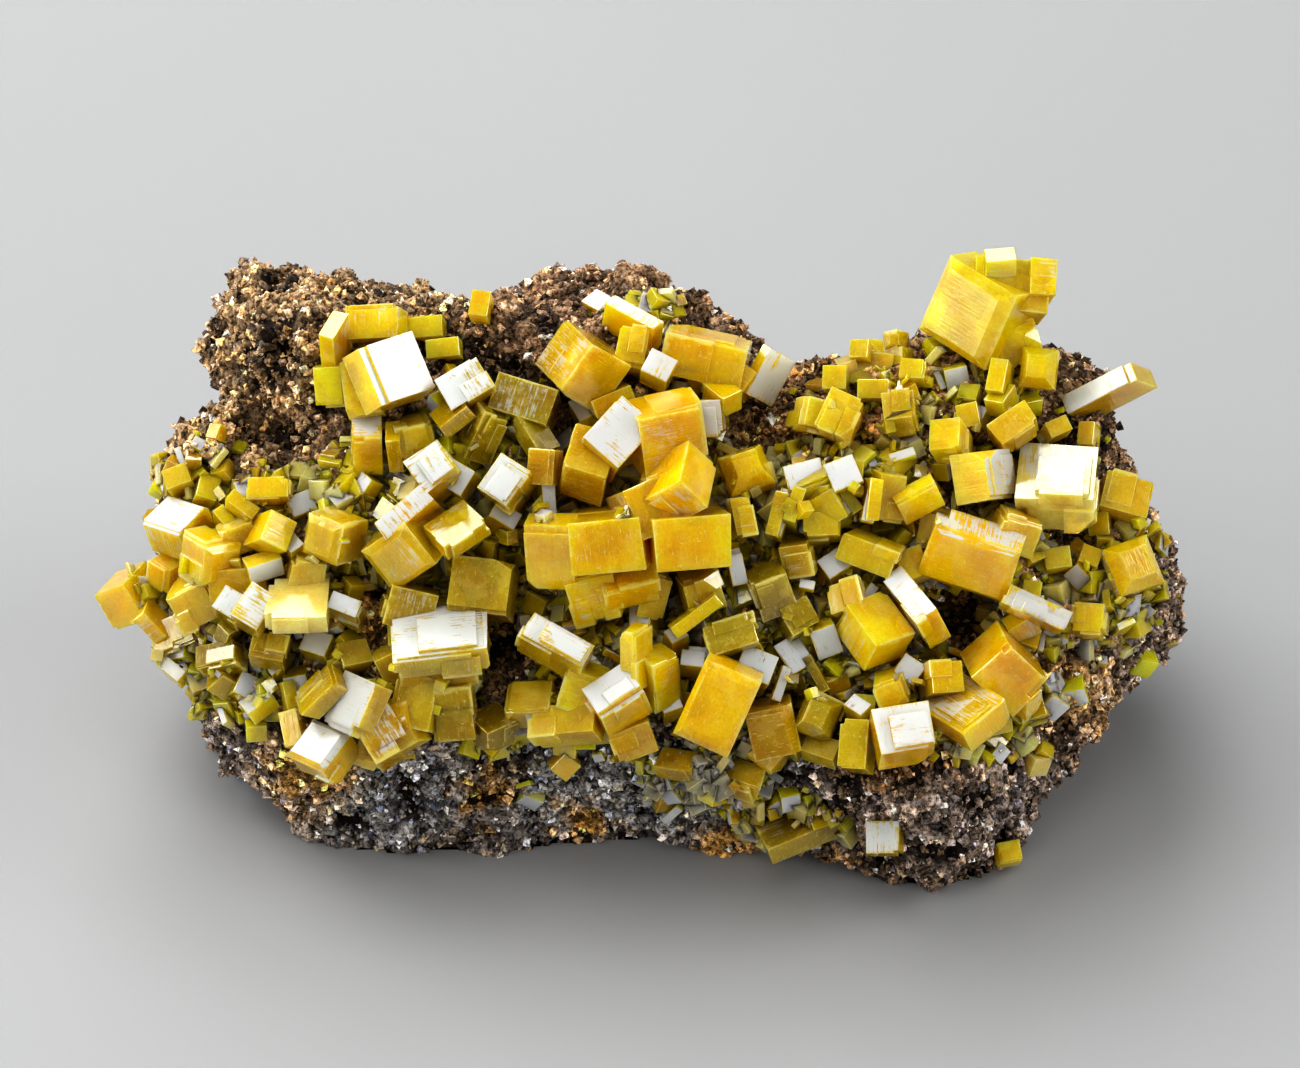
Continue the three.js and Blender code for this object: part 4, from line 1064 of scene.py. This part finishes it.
# Some small crystals have their top painted white as a glint.
GLINT_TOPS = [((-5, -3), (42, 17), 0.75)]  # where some have a white top: middle, reach and share
TOP_FROST_AND_GLINT = 0.9
SMALL_CRYSTALS = [
    (-38.8, -9.4, 2.2, 2.1, 1.1, 2.5, 113, 17, -40),
    (-34.5, -9.8, 2.6, 2.2, 2.2, 2.7, -90, 43, -40),
    (-31.6, -12, 2.4, 2.6, 2.2, 1.4, 121, 54, 39),
    (-29.1, -11.6, 2.6, 1.1, 3.1, 1.6, 20, 20, 12),
    (-31.2, -0.5, 4, 3, 1.7, 1.8, -57, 35, 14),
    (-33, 4.2, 4.2, 2.8, 1.2, 2.9, 80, 20, -38),
    (-34.4, 3, 4, 1.1, 2.3, 2.8, 86, 23, 38),
    (-28.7, 0.8, 4.6, 1.4, 1.6, 2.4, 98, 35, 38),
    (-20.3, 9.4, 4.2, 1.2, 2.6, 3.4, 97, 50, 3),
    (-17.8, 19.1, 3, 3.2, 1.8, 3, 125, 16, 4),
    (-16.2, 17.4, 3, 2.8, 1.6, 2.8, 130, 14, 6),
    (-14.9, 6.5, 5.6, 2.2, 2.4, 3.4, 124, 14, -31),
    (-22.7, 6.2, 2.8, 1.9, 1.7, 1.6, 156, 42, -37),
    (-24.2, 6.5, 2.4, 2.4, 1.4, 2.4, -31, 23, 44),
    (-11.4, 3.2, 5.4, 2.4, 1.6, 3, 60, 25, -30),
    (6.8, 13.6, 4.2, 2, 2.8, 2, 90, 52, 38),
    (-4.6, 11.7, 5, 1.4, 2.8, 2.6, 107, 48, 27),
    (-2.5, 13.3, 4.6, 3.6, 1.6, 3.4, -31, 14, 22),
    (-7.7, 4.7, 6.4, 1.1, 3.2, 3.6, 0, 8, 4),
    (7.8, -1, 6, 1.3, 2.6, 4, 44, 10, 12),
    (3, -6.7, 5.4, 1.6, 1.4, 2.6, 90, 32, 30),
    (4.4, -8.6, 5.8, 2, 1.4, 3, 95, 21, -7),
    (0.3, -4.9, 6, 1.8, 2.2, 2.4, 127, 29, 4),
    (18.5, 17.2, 2.8, 1.6, 1.6, 2.4, 127, 28, -3),
    (20.1, 17.4, 3, 1.8, 1.7, 2.4, 116, 18, -9),
    (19.5, 14, 2.8, 2.6, 1.6, 2.6, 135, 14, -1),
    (27.4, 11.8, 3.2, 1.8, 2, 2.6, 134, 15, 11),
    (29.9, 15, 4, 1.5, 2.8, 3, 130, 20, -10),
    (34.6, 10.8, 3, 2, 1.4, 2.4, 60, 20, 25),
    (16.3, 14.9, 3, 2, 2, 3, 121, 14, -1),
    (16.9, 5.2, 5, 1, 3.3, 3, 45, 12, 34),
    (12.8, 4.3, 3.6, 1.1, 3, 3, 100, 14, -18),
    (34.8, -0.1, 2.8, 2.2, 1.8, 2.6, 115, 17, 8),
    (37.2, 0.1, 2.6, 1.7, 1.6, 2.2, 60, 20, -20),
    (22.3, -9.4, 5, 2.1, 2, 3.2, 100, 16, -34),
    (15, -15.7, 3, 2.9, 1.8, 2.6, 105, 20, -20),
    (-38.4, 6.6, 2.6, 2.2, 1.8, 2.4, 120, 25, 20),
    (-36.2, 5.6, 2.4, 1.8, 2.2, 2.4, 60, 30, -15),
    (-28.4, -10, 2.2, 2, 1.8, 2.2, -100, 25, 12),
    (-32.9, -10.6, 2, 1.8, 2, 2.2, 30, 20, -25),
    (-23.8, -8.2, 2.4, 2.6, 2.2, 2.6, 70, 30, 15),
    (-26.6, -7.2, 2.4, 2.4, 2, 2.4, 120, 25, -20),
    (-20.6, -8.6, 2.6, 2.4, 2.6, 2.6, -60, 20, 25),
    (-28.6, -14, 2.6, 1.6, 3, 2.2, 160, 20, 14),
    (-13.2, 21, 2.8, 1.6, 2.2, 2.4, 110, 20, -8),
    (-7.6, -13.2, 4, 3.4, 2.6, 3, -90, 15, 8),
    (9.4, -9, 3.8, 3, 2.6, 3, 60, 20, -22),
    (16.2, -0.6, 3, 2.4, 2, 2.6, 100, 20, 35),
    (24.6, 2.6, 3.4, 2.4, 3, 3, -150, 20, -12),
    (15.2, -6.4, 3, 2.2, 2.6, 2.6, -60, 20, 20),
    (-30.1, -9.4, 2.6, 1.2, 1, 2, 111, 32, 33),
    (-34.2, -6, 3, 1.6, 1.4, 2, 70, 40, 38),
    (18.1, -12.6, 4.4, 1.9, 1.4, 2.6, 104, 36, -39),
    (2.6, -12.4, 5.4, 1.7, 1.1, 3, 90, 20, 20),
    (13, -15.2, 3.6, 1.2, 2.2, 2.8, 108, 17, -30),
    (37.4, 10.3, 2.6, 1.4, 2, 2.2, 135, 24, -3),
    (12.8, -8.2, 3.2, 2.2, 3, 2.8, 100, 20, 32),
    (31.6, -5.4, 3.8, 2.4, 1.6, 2.2, 125, 45, 30),
    (22.3, -0.6, 3, 2.4, 2.6, 2.8, 60, 20, 20),
    (30, 13.3, 3.2, 1.8, 2.4, 1.8, 105, 50, -23),
    (8.2, 3.6, 3.4, 1.5, 3.3, 0.8, 150, 14, 12),
    (8, -0.6, 3.6, 1.1, 3.1, 0.8, 30, 12, 14),
    (11.7, 3.9, 3.2, 1.3, 4.0, 0.7, 120, 16, -18),
    (13.6, 7.0, 3.4, 3.2, 2.2, 0.8, 110, 18, 14),
    (16.8, 7.1, 3.6, 2.6, 2.6, 0.7, 100, 20, 22),
    (16.4, 5.4, 3.8, 1.0, 3.6, 0.9, 60, 14, 40),
    (19.1, 4.9, 3.6, 1.1, 3.7, 0.9, 60, 12, -12),
    (21.7, 8.6, 2.8, 2.2, 0.8, 0.8, 100, 22, 18),
    (13.8, -2.1, 3.0, 1.3, 0.8, 0.8, 90, 20, -12),
    (5.2, -7.7, 4.6, 2.4, 0.9, 0.8, 95, 20, -5),
    (11.6, -10.2, 3.4, 0.8, 3.0, 0.8, 20, 16, -20),
    (14.6, -9.4, 3.2, 0.8, 3.4, 0.8, 160, 16, 30),
    (18.6, -3.2, 3.2, 0.8, 2.8, 0.8, 20, 16, -35),
    (-28.3, 4.4, 2.6, 2.2, 1.8, 2.2, 60, 20, 25),
]

DIRECTIONS = [d for d in itertools.product((-1, 0, 1), repeat=3) if any(d)]
SIGNS = np.repeat(np.array(list(itertools.product((-1, 1), repeat=3))), 3, axis=0)
SIDES = np.tile(np.eye(3), (8, 1))


def block_faces():
    """The 26 faces of a worn block with the 24 corners of SIGNS: six sides, twelve edges, eight tips."""
    corners = SIGNS * (1 - MOST_WEAR * (1 - SIDES))
    faces = []
    for direction in DIRECTIONS:
        reach = corners @ np.array(direction)
        members = np.flatnonzero(reach > reach.max() - 1e-6)
        outward = Vector(direction).normalized()
        right = outward.orthogonal().normalized()
        up = outward.cross(right)
        middle = corners[members].mean(0)
        turns = [math.atan2((corners[m] - middle) @ up, (corners[m] - middle) @ right) for m in members]
        faces.append([int(m) for _, m in sorted(zip(turns, members))])
    return faces


def worn_blocks(name, turns, middles, sizes, wear, hues, top_frost_and_glint):
    """One mesh of square blocks with worn edges. A corner lies at its side's full reach along one axis and
    is drawn in by the wear along the others. Turns are (n, 3, 3), middles and sizes (n, 3) in mm."""
    count = len(sizes)
    half = sizes[:, None, :] / 2
    local = SIGNS * (half - np.minimum(wear, MOST_WEAR * sizes.min(1))[:, None, None] * (1 - SIDES))
    placed = np.einsum("nij,nkj->nki", turns, local) + middles[:, None, :]
    rotation = np.array(to_world)[:3, :3]
    vertices = placed.reshape(-1, 3) * MM @ rotation.T + np.array(FACE_MIDDLE)
    template = block_faces()
    corner_list = np.concatenate(template)
    lengths = np.array([len(face) for face in template])
    loops = (np.arange(count)[:, None] * len(SIGNS) + corner_list).ravel()
    mesh = flat_mesh(name, vertices, loops, np.tile(lengths, count))
    # Edges frosted and painted pale as a highlight, sides with a random haze of painted reflection.
    frost_and_glint_values = np.tile([EDGE_HIGHLIGHT * (np.count_nonzero(d) > 1) for d in DIRECTIONS], (count, 1))
    for i, direction in enumerate(DIRECTIONS):
        if np.count_nonzero(direction) == 1:
            frost_and_glint_values[:, i] = reflection_haze_of(count)
    # The top face is frosted and painted white as a glint.
    frost_and_glint_values[:, DIRECTIONS.index((0, 0, 1))] = top_frost_and_glint
    face_values(mesh, "frost_and_glint", frost_and_glint_values.astype(np.float32).ravel())
    tints = np.repeat(np.column_stack([hues, np.ones(count)]), len(DIRECTIONS), axis=0)
    face_values(mesh, "tint", tints.astype(np.float32))
    axis = np.repeat([np.abs(d).argmax() for d in DIRECTIONS], lengths)
    for layer, spans in (("growth", local), ("within", local / half)):
        spot = spans[:, corner_list]
        across = np.where(axis == 0, spot[:, :, 1], spot[:, :, 0])
        along = np.where(axis == 2, spot[:, :, 1], spot[:, :, 2])
        flat_map(mesh, layer, np.stack([across, along], 2))
    piece = linked(name, mesh, wulfenite)
    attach(piece, "root")
    return piece


def turns_of(direction, lean, spin):
    """Rotations (n, 3, 3) that spin a block about its thickness and then lean it the way of direction."""
    direction, lean, spin = (np.radians(np.asarray(a, float)) for a in (direction, lean, spin))
    zero = np.zeros_like(lean)
    x, y, z = -np.sin(direction), np.cos(direction), zero
    c, s = np.cos(lean), np.sin(lean)
    hinge = np.stack([x, y, z], 1)
    skew = np.stack([zero, -z, y, z, zero, -x, -y, x, zero], 1).reshape(-1, 3, 3)
    tilt = c[:, None, None] * np.eye(3) + s[:, None, None] * skew
    tilt += (1 - c)[:, None, None] * hinge[:, :, None] * hinge[:, None, :]
    c, s = np.cos(spin), np.sin(spin)
    turn = np.stack([c, -s, zero, s, c, zero, zero, zero, zero + 1], 1)
    return tilt @ turn.reshape(-1, 3, 3)


rock_tree = tree_of(fine)
LOOK_FROM = 60 * MM  # over the face


def rock_at(x, y):
    """Point and normal of the rock under a place on the face in mm, or the nearest ones past its rim."""
    start = to_world @ Vector((x * MM, y * MM, LOOK_FROM))
    point, normal, _, _ = rock_tree.ray_cast(start, -face_out)
    if point is None:
        point, normal, _, _ = rock_tree.find_nearest(start - LOOK_FROM * face_out)
    return point, normal


def kept_share(points, patches):
    """The largest of the patches' bell-shaped shares at each face point."""
    share = np.zeros(len(points))
    for (x, y), (across, up), most in patches:
        far = ((points[:, 0] - x) / across) ** 2 + ((points[:, 1] - y) / up) ** 2
        share = np.maximum(share, most * np.exp(-(far**2)))
    return share


rows = np.array(SMALL_CRYSTALS, float)
turns = turns_of(rows[:, 6], rows[:, 7], rows[:, 8])
heights = np.array([on_face(np.array(rock_at(x, y)[0])[None])[0, 2] for x, y in rows[:, :2]])
reach = (np.abs(turns[:, 2, :]) * rows[:, 3:6]).sum(1) / 2
middles = np.column_stack([rows[:, :2], heights + np.minimum(rows[:, 2], SMALL_TOP) - reach])
hues = blended(rows[:, :2], CRYSTAL_PATCHES, GOLD)
hues = np.clip(hues * (1 + SMALL_SPREAD * chance.standard_normal((len(rows), 1))), 0.001, 0.95)
# Tops painted white as a glint, where the patches say.
top_frost_and_glint = TOP_FROST_AND_GLINT * (chance.uniform(size=len(rows)) < kept_share(rows[:, :2], GLINT_TOPS))
small = worn_blocks("wulfenite_small", turns, middles, rows[:, 3:6], SMALL_WEAR, hues, top_frost_and_glint)

# ---------------------------------------------------------------- the druse
# Crystals of under 2 mm that fill the gaps: chunky, tabular and lath-shaped ones, thick in the patches
# below. They grow on the rock and, smaller, on the steep flanks of bigger crystals, joined in two meshes.
DRUSE_TRIES = 30000
DRUSE_AREA = ((-44, -27), (46, 25))  # lower left and upper right on the face in mm
DRUSE_ABOVE = 1.5 * MM  # the table
DRUSE_FREE = 0.4 * MM  # out of the rock it mustn't be inside a bigger crystal
DRUSE_SIZES = (0.45, 2.0)  # mm
DRUSE_FEW_LARGE = 1.7
DRUSE_SEAT = 0.25  # of its size that its middle stands off the ground
DRUSE_FOLLOWS = 0.6  # how far it leans with the ground
DRUSE_LEAN, DRUSE_SWAY = 45, 50  # degrees: how much further it may lean, and the spread of its direction
# A share of the druse has its top painted white as a glint.
DRUSE_GLINT_TOPS = 0.22  # of its crystals have a white top
DRUSE_SPREAD = 0.15  # of its brightness
DRUSE_WEAR = 0.03
DRUSE_WARMTH = (1.4, 1.08, 1.2)  # how its colour differs from the bigger crystals'
DRUSE_HUES, HUE_SHARES = (OLIVE, LEMON, GOLD, CREAM), (0.08, 0.27, 0.42, 0.23)
GREY = (0.4, 0.4, 0.35)
GREY_CRUST = [((5.6, -18), (5.2, 2.6), 0.85)]  # where a share of the druse is grey and glitters
FLANK_LEAN = 0.6  # druse also sits on crystal faces that are turned further from the front than this
# A white face here is one that is painted white as a glint.
FLANK_CLEAR = 3.5  # mm that it keeps from the middle of a white face
FLANK_SIZE = 0.5  # and is smaller there by this factor
DRUSE_SHAPES = np.array([[1, 1, 0.9], [1, 1, 0.35], [1.2, 0.35, 0.8]])
# Middle and reach on the face in mm, and the share of tries kept there.
DRUSE_PATCHES = [
    ((-2, -1), (36, 12), 0.75),
    ((-34, -9), (6, 4), 0.9),
    ((-37, 7), (3, 2), 0.9),
    ((-29, 5), (4, 2), 0.9),
    ((13, -7), (6, 6), 0.9),
    ((14, 5), (6, 5), 0.8),
    ((25, 14), (9, 4), 0.6),
    ((0, 21), (4, 1.5), 0.7),
    ((-13, 6), (7, 6), 0.7),
    ((-4, -9), (9, 5), 0.8),
    ((27, -11), (7, 5), 0.6),
    ((12.5, -21.7), (4, 2), 0.8),
    ((38, -3), (4, 4), 0.5),
    ((5.6, -18), (5, 2.4), 0.95),
]
BARE_PATCHES = [
    ((-29, 11), (4, 3), 1),
    ((-6.7, 11.7), (2, 2), 1),
    ((9.6, 11), (3, 2.4), 1),
    ((-11, -8.3), (2.6, 4), 1),
    ((25.8, -5), (2.6, 3), 1),
    ((-21.7, -5), (1.8, 4), 1),
    ((0, 27), (30, 5), 1),
    ((-31, 18), (6, 5), 1),
    ((26, 15.5), (9, 4.5), 0.4),
    ((-31, -4), (7, 7), 0.3),
]
crystal_trees.append(tree_of(small.data))


def inside_crystal(point):
    """Whether a point lies in one of the crystals: the nearest face of that piece points away from it."""
    for tree in crystal_trees:
        hit, normal, _, far = tree.find_nearest(point, 3 * MM)
        if hit is not None and (point - hit).dot(normal) < 0:
            return True
    return False


def flank_at(x, y):
    """Point and normal of the topmost crystal under a place on the face in mm, if it is on a steep flank."""
    start = to_world @ Vector((x * MM, y * MM, LOOK_FROM))
    hits = [tree.ray_cast(start, -face_out) for tree in crystal_trees]
    if all(hit[0] is None for hit in hits):
        return None
    point, normal, _, _ = min((hit for hit in hits if hit[0] is not None), key=lambda hit: hit[3])
    return (point, normal) if normal.dot(face_out) < FLANK_LEAN else None


tries = chance.uniform(*DRUSE_AREA, (DRUSE_TRIES, 2))
share = kept_share(tries, DRUSE_PATCHES) - kept_share(tries, BARE_PATCHES)
# Middles of the faces painted white as a glint.
glint_middles = np.array(FROSTED_GLINT_FACES)[:, :2]
spots, outs, largest_here = [], [], []
for x, y in tries[chance.uniform(size=DRUSE_TRIES) < share]:
    point, normal = rock_at(x, y)
    if point.z > DRUSE_ABOVE and not inside_crystal(point + DRUSE_FREE * normal):
        size = 1.0
    elif np.hypot(*(glint_middles - (x, y)).T).min() > FLANK_CLEAR and (flank := flank_at(x, y)):
        point, normal = flank
        size = FLANK_SIZE
    else:
        continue
    spots.append(point)
    outs.append(normal)
    largest_here.append(size)
count = len(spots)
spots = on_face(np.array(spots))
outs = np.array(outs) @ np.array(to_world)[:3, :3]
smallest, largest = DRUSE_SIZES
sizes = chance.uniform(size=count) ** DRUSE_FEW_LARGE * np.array(largest_here)
sizes = smallest + (largest - smallest) * sizes
sizes = sizes[:, None] * DRUSE_SHAPES[chance.integers(0, 3, count)]
leans = DRUSE_FOLLOWS * np.degrees(np.arccos(np.clip(outs[:, 2], -1, 1)))
leans += chance.uniform(0, DRUSE_LEAN, count)
leaning = np.degrees(np.arctan2(outs[:, 1], outs[:, 0])) + chance.normal(0, DRUSE_SWAY, count)
turns = turns_of(leaning, leans, chance.uniform(-90, 90, count))
middles = spots + outs * (DRUSE_SEAT * sizes.mean(1))[:, None]
hues = np.array(DRUSE_HUES)[chance.choice(len(DRUSE_HUES), count, p=HUE_SHARES)]
brightness = 1 + DRUSE_SPREAD * chance.standard_normal((count, 1))
hues = np.clip(hues * DRUSE_WARMTH * brightness, 0.001, 0.9)
top_frost_and_glint = TOP_FROST_AND_GLINT * (chance.uniform(size=count) < DRUSE_GLINT_TOPS)
hues[chance.uniform(size=count) < kept_share(middles[:, :2], GREY_CRUST)] = GREY
for name, here in (("left", middles[:, 0] < 0), ("right", middles[:, 0] >= 0)):
    shape = turns[here], middles[here], sizes[here], DRUSE_WEAR
    worn_blocks("wulfenite_druse_" + name, *shape, hues[here], top_frost_and_glint[here])
